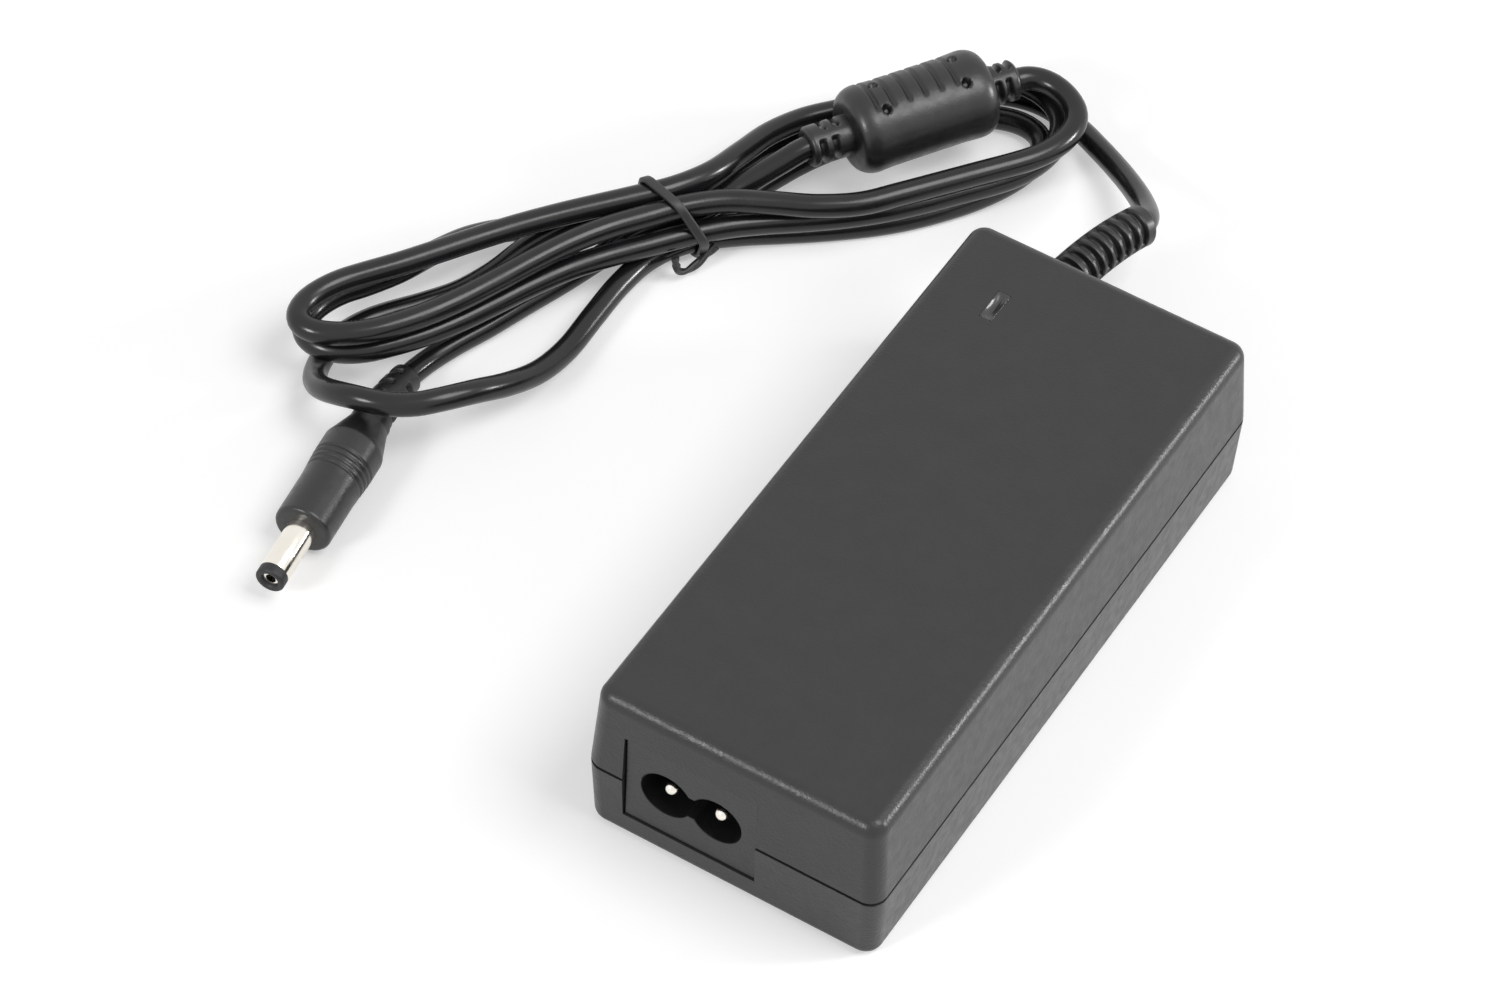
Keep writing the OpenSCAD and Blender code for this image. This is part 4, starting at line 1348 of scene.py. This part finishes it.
@dataclass
class Plug:
    """The barrel plug: grip, slotted relief, barrel and tip.

    swell, wide and taper are shares of the grip's length: where it starts to widen, where it is
    widest and where it starts to narrow. relief_ends are the lengths without slots at its ends,
    and relief_plain is what the slots' pitch leaves out of the relief's length.
    """

    tip: Point = (-87.0, -48.0, 5.05)
    yaw_deg: float = 8.0
    fit: float = 0.02
    barrel_r: float = 2.4
    barrel_l: float = 11.0
    barrel_rim: tuple[Span, ...] = ((0.0, 0.12), (0.04, 0.04), (0.12, 0.0))
    sleeve_wall: float = 0.4
    root_l: float = 3.9
    root_step: float = 0.2
    tip_l: float = 1.7
    tip_edge: float = 0.4
    hole_r: float = 1.2
    funnel: tuple[Span, ...] = ((0.6, 0.0), (0.15, 0.25), (0.0, 0.45))
    grip_l: float = 24.0
    grip_r: float = 4.7
    grip_wide_r: float = 5.0
    grip_edge: float = 0.7
    grip_steps: int = 150
    swell: float = 0.35
    wide: float = 0.60
    taper: float = 0.74
    taper_bend: float = 1.2
    neck_r: float = 3.3
    neck_l: float = 1.0
    neck_wall: float = 0.6
    grooves: int = 4
    groove_back: float = 3.6
    groove_pitch: float = 1.05
    groove_edge: Span = (0.1, 0.3)
    groove_depth: float = 0.2
    relief_r: Span = (3.15, 2.6)
    relief_rim: float = 0.4
    relief_stub: float = 0.8
    relief_ends: Span = (1.4, 0.4)
    relief_plain: float = 2.0
    relief_slots: int = 3
    relief_slot: SlotShape = SlotShape(depth=0.9, width=1.3, half_arc_deg=66.0, turn_deg=-25.0)
    relief_steps: int = 90
    cord_steps: int = 5
    lead_end: Point = (-93.5, -0.8, 2.6)
    lead_pull: Point = (-93.4, -4.8, 3.3)
    end_pull: float = 4.0

    @property
    def axis(self) -> Vector:
        """Return the direction from the tip to the cord."""
        yaw = math.radians(self.yaw_deg)
        return Vector((-math.sin(yaw), math.cos(yaw), 0))

    def relief_line(self, count: int) -> list[Vector]:
        """Give the middle line of the plug's relief, from the grip outwards.

        Args:
            count: Number of steps.

        Returns:
            Its points.
        """
        end = Vector(self.tip) + self.axis * (self.barrel_l + self.grip_l)
        pulls = (end + self.axis * self.end_pull, Vector(self.lead_pull))
        return bezier(end, *pulls, Vector(self.lead_end), count)

    def turned_piece(
        self, name: str, profile: list[Span], sides: int, loop: bool = True
    ) -> bpy.types.Object:
        """Return a profile turned round the plug's axis."""
        return turned(name, Vector(self.tip), self.axis, profile, sides, loop)

    def skin(self, at: float) -> float:
        """Give the grip's radius.

        Args:
            at: Distance from its front.

        Returns:
            The radius, with the swell, the taper and the rings.
        """
        length, bend = self.grip_l, self.taper_bend
        wide, taper = self.wide * length, self.taper * length
        swell = smoothstep(self.swell * length, wide, at)
        out = self.grip_r + (self.grip_wide_r - self.grip_r) * swell
        if at > taper - bend:
            slope = (at - taper) / (length - self.neck_l - taper)
            cone = self.grip_wide_r - (self.grip_wide_r - self.neck_r) * slope
            share = smoothstep(taper - bend, taper + bend, at)
            out = max(out * (1 - share) + min(out, cone) * share, self.neck_r)
        for i in range(self.grooves):
            off = abs(at - (wide - self.groove_back + i * self.groove_pitch))
            out -= self.groove_depth * falloff(*self.groove_edge, off)
        return out

    def build_grip(self) -> bpy.types.Object:
        """Make the grip.

        Returns:
            The grip.
        """
        start, edge = self.barrel_l, self.grip_edge
        profile = [(start, self.barrel_r + self.fit), *rounded_rim(start, self.grip_r, edge)]
        for i in range(1, self.grip_steps + 1):
            at = start + edge + (self.grip_l - edge) * (i / self.grip_steps)
            profile.append((at, self.skin(at - start)))
        profile.append((start + self.grip_l, self.neck_r - self.neck_wall))
        piece = self.turned_piece("plug_grip_moulding", profile, sides=96, loop=False)
        return set_down(piece, MOULDING, ["plug_grip"], sharp_deg=50)

    def build_relief(self) -> bpy.types.Object:
        """Make the slotted relief, with a stub inside the grip.

        Returns:
            The relief.
        """
        path = self.relief_line(self.relief_steps)
        path = [path[0] - self.axis * self.relief_stub, *path]
        total = lengths_along(path)[-1]
        pitch = (total - self.relief_plain) / (self.relief_slots + 0.5)
        start, stop = self.relief_ends[0], total - self.relief_ends[1]
        slots = Slots(start, stop, pitch, self.relief_slot)
        skin = Relief(total, *self.relief_r, self.relief_rim, slots)
        piece = sweep("plug_relief", path, sides=64, radius=skin.radius)
        return set_down(piece, MOULDING, ["plug_strain_relief"], sharp_deg=60)

    def build_barrel(self) -> bpy.types.Object:
        """Make the barrel's sleeve, with its thinner root inside the grip.

        Returns:
            The sleeve.
        """
        out, inner = self.barrel_r, self.barrel_r - self.sleeve_wall
        grip, stop = self.barrel_l - self.fit, self.barrel_l + self.root_l
        profile = [
            (self.tip_l, inner),
            *((self.tip_l + at, out - less) for at, less in self.barrel_rim),
            (grip, out),
            (grip, out - self.root_step),
            (stop, out - self.root_step),
            (stop, inner),
        ]
        piece = self.turned_piece("plug_sleeve", profile, sides=96)
        return set_down(piece, PLATED, ["plug_barrel"], sharp_deg=30)

    def build_tip(self) -> bpy.types.Object:
        """Make the black tip with its funnel.

        Returns:
            The tip.
        """
        stop, inner = self.barrel_l + self.root_l, self.barrel_r - self.sleeve_wall - self.fit / 2
        profile = [
            (stop, self.hole_r),
            *((at, self.hole_r + more) for at, more in self.funnel),
            *rounded_rim(0.0, self.barrel_r, self.tip_edge),
            (self.tip_l - self.fit, self.barrel_r),
            (self.tip_l - self.fit, inner),
            (stop, inner),
        ]
        piece = self.turned_piece("plug_tip", profile, sides=64)
        return set_down(piece, MOULD_BLACK, ["plug_tip_insulator"], sharp_deg=45)

    def build(self) -> list[bpy.types.Object]:
        """Return all of the plug's own pieces."""
        return [self.build_grip(), self.build_relief(), self.build_barrel(), self.build_tip()]


# ---- brick


@dataclass
class BrickForm:
    """The brick's outer form: rounded rectangles stacked from underside to top."""

    width: float = 50.0
    length: float = 112.5
    height: float = 30.0
    seam: float = 13.5
    top_draft: float = 0.9
    base_draft: float = 0.5
    corner: float = 2.8
    top_edge: float = 2.4
    base_edge: float = 1.8
    corner_steps: int = 10
    edge_steps: int = 9
    least_corner: float = 0.3

    def edge_inset(self, z: float) -> float:
        """Give how far the rounded top or base edge draws the outline in.

        Args:
            z: The height.

        Returns:
            The inset, in millimetres.
        """
        if z > self.height - self.top_edge:
            r, rise = self.top_edge, z - (self.height - self.top_edge)
        elif z < self.base_edge:
            r, rise = self.base_edge, self.base_edge - z
        else:
            return 0.0
        return r - math.sqrt(max(0.0, r * r - rise * rise))

    def lean(self, z: float) -> float:
        """Give how far the draft draws the outline in.

        Args:
            z: The height.

        Returns:
            The inset, in millimetres.
        """
        if z >= self.seam:
            straight = self.height - self.top_edge - self.seam
            return self.top_draft * min(1.0, (z - self.seam) / straight)
        return self.base_draft * (self.seam - z) / self.seam

    def ring(self, z: float, shrink: float = 0.0) -> Ring:
        """Give the outline at a height.

        Args:
            z: The height.
            shrink: Further inset, as of a chamfer.

        Returns:
            The outline's points.
        """
        inset = self.lean(z) + self.edge_inset(z) + shrink
        r = max(self.least_corner, self.corner - self.edge_inset(z) - shrink)
        outline = rounded_outline(
            self.width / 2 - inset, self.length / 2 - inset, r, self.corner_steps
        )
        return [Vector((x, y, z)) for x, y in outline]

    def heights(self, low: float, high: float) -> list[float]:
        """Give the heights at which outlines are needed.

        Args:
            low: The lowest.
            high: The highest.

        Returns:
            Heights from low to high, each once.
        """
        slack = 1e-6
        marks = [low, high]
        for i in range(self.edge_steps + 1):
            share = 1 - math.sin(math.pi / 2 * i / self.edge_steps)
            marks += [self.base_edge * share, self.height - self.top_edge * share]
        return sorted({round(z, 5) for z in marks if low - slack <= z <= high + slack})

    def solid(self, name: str, low: float, high: float) -> bpy.types.Object:
        """Return a closed slab of the form between two heights."""
        return loft(name, [self.ring(z) for z in self.heights(low, high)])


@dataclass
class Brick:
    """The two covers, the inlet housing and the light's lens.

    plate_in is how far the inlet's plate reaches past the wall, and flange_in and body_in how far
    past the wall the flange and the body start. socket_shade_margin is how far beside the socket's
    outline a face still gets the painted shade, and socket_shade_from how deep in the socket it
    starts. lens_rings are the insets of the rings in the lens's hollow.
    """

    form: BrickForm = field(default_factory=BrickForm)
    skin: float = 2.0
    side_wall: float = 2.9
    seam_gap: float = 0.6
    lip: float = 0.08
    lip_bend: Span = (0.4, 0.3)
    tongue_h: float = 1.6
    tongue_t: float = 1.2
    fit: float = 0.17
    exit_r: float = 3.72
    inner_corner: float = 1.8
    inlet_x: float = -7.0
    inlet_z: float = 14.0
    inlet_w: float = 22.4
    inlet_h: float = 17.6
    inlet_recess: float = 0.12
    inlet_edge: float = 0.24
    plate_in: float = 0.3
    flange_in: float = 0.01
    body_in: float = 0.1
    flange_lip: float = 1.0
    flange_t: float = 1.5
    pin_pitch: float = 8.6
    lobe_r: float = 4.25
    lobe_steps: int = 40
    neck_h: float = 4.2
    socket_depth: float = 12.3
    socket_shade_from: float = 0.8
    socket_shade_margin: float = 0.05
    back_t: float = 2.5
    lens_w: float = 2.2
    lens_l: float = 6.0
    lens_x: float = -12.6
    lens_y: float = 40.55
    lens_corner: float = 0.3
    lens_foot: float = 0.6
    lens_foot_h: float = 0.8
    lens_step: float = 0.01
    lens_proud: float = 0.02
    lens_fit: float = 0.03
    lens_edge: float = 0.03
    lens_straight: float = 0.25
    lens_rim: float = 0.14
    lens_dish: float = 0.62
    lens_rings: tuple[float, ...] = (0.24, 0.34, 0.46, 0.6, 0.76, 0.94)

    @property
    def front(self) -> float:
        """Return the y of the inlet's end."""
        return -self.form.length / 2

    @property
    def inside(self) -> float:
        """Return the y of the inner face of the wall round the inlet."""
        return self.front + self.side_wall

    def cavity(self, low: float, high: float, grow: float = 0.0) -> bpy.types.Object:
        """Make the block that hollows a cover.

        Args:
            low: Its lowest height.
            high: Its highest height.
            grow: How much wider it is than the cavity on each side.

        Returns:
            The block.
        """
        half_x = self.form.width / 2 - self.side_wall + grow
        half_y = self.form.length / 2 - self.side_wall + grow
        outline = rounded_outline(half_x, half_y, self.inner_corner + grow, steps=6)
        return prism("cutter", outline, low, high)

    def inlet_block(
        self, grow: float, front: float, rear: float, name: str = "cutter"
    ) -> bpy.types.Object:
        """Make a box round the inlet's middle.

        Args:
            grow: How much wider it is than the inlet's plate on each side.
            front: The y of its front.
            rear: The y of its rear.
            name: Name of the box.

        Returns:
            The box.
        """
        half_w, half_h = self.inlet_w / 2 + grow, self.inlet_h / 2 + grow
        low = (self.inlet_x - half_w, front, self.inlet_z - half_h)
        return block(low, (self.inlet_x + half_w, rear, self.inlet_z + half_h), name)

    def cut_openings(self, cover: bpy.types.Object) -> None:
        """Cut the inlet's opening and the cord's hole into a cover.

        Args:
            cover: The cover.
        """
        window = self.inlet_block(self.fit, self.front - OVER, self.inside + OVER)
        combine(cover, window, "DIFFERENCE")
        inner = Vector(CORD_EXIT) - Vector((0, self.side_wall + OVER, 0))
        profile = [(0, self.exit_r), (self.side_wall + 2 * OVER, self.exit_r)]
        hole = turned("cutter", inner, Vector((0, 1, 0)), profile, sides=48)
        combine(cover, hole, "DIFFERENCE")

    def lip_rings(self, z: float, away: int) -> list[Ring]:
        """Give the two rings of the fine chamfer at a cover's seam, from the seam on.

        Args:
            z: The height of the cover's edge.
            away: 1 where the cover lies above the edge, -1 where it lies below.

        Returns:
            The rings.
        """
        up, out = self.lip_bend
        near = self.form.ring(z + away * self.lip * up, self.lip * out)
        return [self.form.ring(z, self.lip), near]

    def build_top(self) -> None:
        """Make the top cover."""
        form = self.form
        low = form.seam + self.seam_gap / 2
        rings = self.lip_rings(low, 1)
        rings += [form.ring(z) for z in form.heights(low + self.lip, form.height)]
        cover = loft("top_shell", rings)
        roof = form.height - self.skin
        combine(cover, self.cavity(low - OVER, roof), "DIFFERENCE")
        recess = self.cavity(low - OVER, form.seam + self.tongue_h, self.tongue_t + self.fit)
        combine(cover, recess, "DIFFERENCE")
        self.cut_openings(cover)
        half_w, half_l = self.lens_w / 2 + self.lens_fit, self.lens_l / 2 + self.lens_fit
        window = block(
            (self.lens_x - half_w, self.lens_y - half_l, roof - OVER),
            (self.lens_x + half_w, self.lens_y + half_l, form.height + OVER),
        )
        combine(cover, window, "DIFFERENCE")
        set_down(cover, CASE, ["top_cover"], sharp_deg=35, even=True)

    def build_base(self) -> None:
        """Make the bottom cover with its tongue."""
        form = self.form
        high = form.seam - self.seam_gap / 2
        rings = [form.ring(z) for z in form.heights(0, high - self.lip)]
        cover = loft("base_shell", rings + self.lip_rings(high, -1)[::-1])
        tongue = self.cavity(high - OVER, form.seam + self.tongue_h, self.tongue_t)
        combine(cover, tongue, "UNION")
        combine(cover, self.cavity(self.skin, form.height), "DIFFERENCE")
        self.cut_openings(cover)
        set_down(cover, CASE, ["bottom_cover"], sharp_deg=35, even=True)

    def figure_eight(self) -> list[Span]:
        """Give the socket's outline.

        Returns:
            Points x and z round the socket's middle.
        """
        meet = math.asin(self.neck_h / 2 / self.lobe_r)
        made = []
        for side, middle in ((-1, math.pi), (1, 0.0)):
            for i in range(self.lobe_steps + 1):
                angle = middle + (math.pi - meet) * (2 * i / self.lobe_steps - 1)
                x = side * self.pin_pitch / 2 + self.lobe_r * math.cos(angle)
                made.append((x, self.lobe_r * math.sin(angle)))
        return made

    def build_inlet(self) -> None:
        """Make the inlet housing with its figure-8 socket.

        Its plate follows the brick's end face. Flange and body start inside the plate, so that
        no two faces coincide.
        """
        lip, floor = self.flange_lip, self.front + self.socket_depth
        plate = self.inlet_block(0, self.front - 2 * OVER, self.inside + self.plate_in, "inlet")
        face = self.form.solid("cutter", 0, self.form.height)
        face.data.transform(Matrix.Translation((0, self.inlet_recess, 0)))
        combine(plate, face, "INTERSECT")
        flange_front = self.inside + self.flange_in
        flange = self.inlet_block(lip, flange_front, self.inside + self.flange_t)
        combine(plate, flange, "UNION")
        body = self.inlet_block(-lip, self.inside + self.body_in, floor + self.back_t)
        combine(plate, body, "UNION")
        outline = [(self.inlet_x + a, self.inlet_z + b) for a, b in self.figure_eight()]
        depths = (self.front - 2 * OVER, floor)
        socket = loft("cutter", [[Vector((x, y, z)) for x, z in outline] for y in depths])
        combine(plate, socket, "DIFFERENCE")
        soften(plate, self.inlet_edge)
        self.paint_socket_shade(plate)
        set_down(plate, CASE, ["inlet_housing"], sharp_deg=35, even=True)

    def paint_socket_shade(self, plate: bpy.types.Object) -> None:
        """Give the faces deeper in the socket, in or just beside its outline, a near-black painted
        shade for the dark of the recess.

        Args:
            plate: The inlet housing.
        """
        plate.data.materials.clear()
        for finish in (CASE, SOCKET_SHADE):
            plate.data.materials.append(finish.material())
        half_h = self.lobe_r + self.socket_shade_margin
        half_w = self.pin_pitch / 2 + half_h
        low = self.front + self.socket_shade_from
        high = self.front + self.socket_depth + self.socket_shade_margin
        # faces more than socket_shade_from deep in the socket get the painted shade
        for face in plate.data.polygons:
            x, y, z = face.center
            within = abs(x - self.inlet_x) < half_w and abs(z - self.inlet_z) < half_h
            face.material_index = int(within and low < y < high)

    def dish(self, x: float, y: float) -> float:
        """Return how far the lens is hollowed at a place across and along its middle."""
        u, w = x / (self.lens_w / 2 - self.lens_rim), y / (self.lens_l / 2 - self.lens_rim)
        return self.lens_dish * max(0.0, 1 - u * u) * max(0.0, 1 - w * w)

    def build_lens(self) -> None:
        """Make the light's lens: a foot under the cover, and a hollowed top.

        Each level has a height and how much wider it is than the lens on each side.
        """
        top, roof = self.form.height + self.lens_proud, self.form.height - self.skin
        half_w, half_l = self.lens_w / 2, self.lens_l / 2
        corners = rounded_outline(half_w, half_l, self.lens_corner, steps=4)
        outline = []
        for (a, b), (c, d) in zip(corners, corners[1:] + corners[:1]):
            parts = max(1, round(math.hypot(c - a, d - b) / self.lens_corner))
            outline += [(a + (c - a) * i / parts, b + (d - b) * i / parts) for i in range(parts)]
        levels = [
            (roof - self.lens_foot_h, self.lens_foot),
            (roof, self.lens_foot),
            (roof + self.lens_step, 0.0),
            (top - self.lens_straight, 0.0),
            (top - self.lens_edge, 0.0),
            *((top, -inset) for inset in (self.lens_edge, self.lens_rim, *self.lens_rings)),
        ]
        rings = []
        for z, grow in levels:
            wide, long = 1 + grow / half_w, 1 + grow / half_l
            flat = [(a * wide, b * long) for a, b in outline]
            rings.append(
                [Vector((self.lens_x + x, self.lens_y + y, z - self.dish(x, y))) for x, y in flat]
            )
        set_down(loft("lens", rings), LIGHT_GUIDE, ["led_lens"], sharp_deg=45)

    def build(self) -> None:
        """Make all of the brick's own pieces."""
        self.build_top()
        self.build_base()
        self.build_inlet()
        self.build_lens()


# ---- inside


def dress_kept_nodes(nodes: dict[str, bpy.types.Object]) -> None:
    """Give the nodes that keep their own shape their finishes.

    Args:
        nodes: The frame's nodes by name.
    """
    for finish, slot, names in KEPT_NODES:
        for name in names:
            node = nodes[name]
            if node.material_slots:
                for held in node.material_slots:
                    held.material = finish.material()
            else:
                node.data.materials.append(finish.material())
        log.info("%s keep their shape: %s", ", ".join(names), finish.name)


# ---- studio


LAMP_AIM = (-0.02, 0.01, 0.01)  # in metres


@dataclass(frozen=True)
class Softbox:
    """One soft lamp: where it stands, its size and its power."""

    name: str
    place: Point
    size: float
    power: float

    def build(self) -> None:
        """Make the lamp, turned towards the adapter."""
        data = bpy.data.lights.new(self.name, "AREA")
        data.shape = "SQUARE"
        data.size = self.size
        data.energy = self.power
        made = placed(self.name, data)
        aim = Vector(LAMP_AIM) - Vector(self.place)
        made.rotation_euler = aim.to_track_quat("-Z", "Y").to_euler()
        made.location = self.place


@dataclass
class Studio:
    """The pale floor, the sky and the lamps."""

    softboxes: tuple[Softbox, ...] = (
        Softbox("top_box", (0.42, 0.10, 0.84), 0.46, 4.2),
        Softbox("front_box", (-0.29, -0.69, 0.50), 0.21, 2.7),
        Softbox("side_box", (0.73, 0.52, 0.30), 0.15, 3.8),
    )
    floor_half: float = 3.0
    floor_shade: float = 0.74
    floor_play: float = 0.005
    floor_patch_mm: float = 40.0
    floor_glow: float = 0.36
    sky: float = 0.32

    def seen_rays(self, board: NodeBoard) -> bpy.types.NodeSocket:
        """Add the nodes that are 1 for camera, glossy and transmission rays.

        Args:
            board: The node tree to add them to.

        Returns:
            Their result.
        """
        rays = board.add("ShaderNodeLightPath").outputs
        pair = (rays["Is Camera Ray"], rays["Is Glossy Ray"])
        first = board.join("ShaderNodeMath", pair, "MAXIMUM")
        return board.join("ShaderNodeMath", (first, rays["Is Transmission Ray"]), "MAXIMUM")

    def build_floor(self) -> None:
        """Make the floor, which keeps the adapter's shadow."""
        half = self.floor_half
        corners = [Vector((x * half, y * half, 0)) for x, y in ((-1, -1), (1, -1), (1, 1), (-1, 1))]
        floor = new_piece("floor", corners, [(0, 1, 2, 3)])
        paper = bpy.data.materials.new("floor_paper")
        board = NodeBoard(paper)
        place = board.add("ShaderNodeTexCoord").outputs["Object"]
        low, high = self.floor_shade - self.floor_play, self.floor_shade + self.floor_play
        tone = board.remap(board.noise(place, self.floor_patch_mm), low, high)
        colour = board.add("ShaderNodeCombineColor", Red=tone, Green=tone, Blue=tone)
        matt = board.add("ShaderNodeBsdfDiffuse", Color=colour.outputs[0])
        pair = (self.seen_rays(board), self.floor_glow)
        power = board.join("ShaderNodeMath", pair, "MULTIPLY")
        glow = board.add("ShaderNodeEmission", Strength=power)
        both = board.join("ShaderNodeAddShader", (matt.outputs[0], glow.outputs[0]))
        board.add("ShaderNodeOutputMaterial", Surface=both)
        floor.data.materials.append(paper)

    def build_sky(self) -> None:
        """Make the world: plain white where it is seen, and softer as a light."""
        world = bpy.data.worlds.new("sky")
        bpy.context.scene.world = world
        board = NodeBoard(world)
        seen = self.seen_rays(board)
        level = board.add("ShaderNodeMapRange", Value=seen, To_Min=self.sky, To_Max=1.0)
        white = (1.0, 1.0, 1.0, 1.0)
        back = board.add("ShaderNodeBackground", Color=white, Strength=level.outputs[0])
        board.add("ShaderNodeOutputWorld", Surface=back.outputs[0])

    def build(self) -> None:
        """Make the floor, the sky and the lamps."""
        self.build_floor()
        self.build_sky()
        for softbox in self.softboxes:
            softbox.build()
        bpy.context.scene.view_settings.view_transform = "Standard"
        log.info("studio with %d softboxes", len(self.softboxes))


# ---- all together


def main() -> None:
    """Build the camera, the cord and its pieces, the brick, the inside and the studio."""
    logging.basicConfig(level=logging.INFO, format="%(name)s: %(message)s")
    Viewpoint().build()
    cord, plug = Cord(), Plug()
    sheath, path = cord.build(plug.relief_line(plug.cord_steps))
    on_cord = [
        OutputRelief(cord).build(),
        Tie(cord).build(),
        FerriteMoulding(cord).build(),
        *plug.build(),
    ]
    Brick().build()
    dress_kept_nodes(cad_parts)
    Studio().build()


if __name__ == "__main__":
    main()
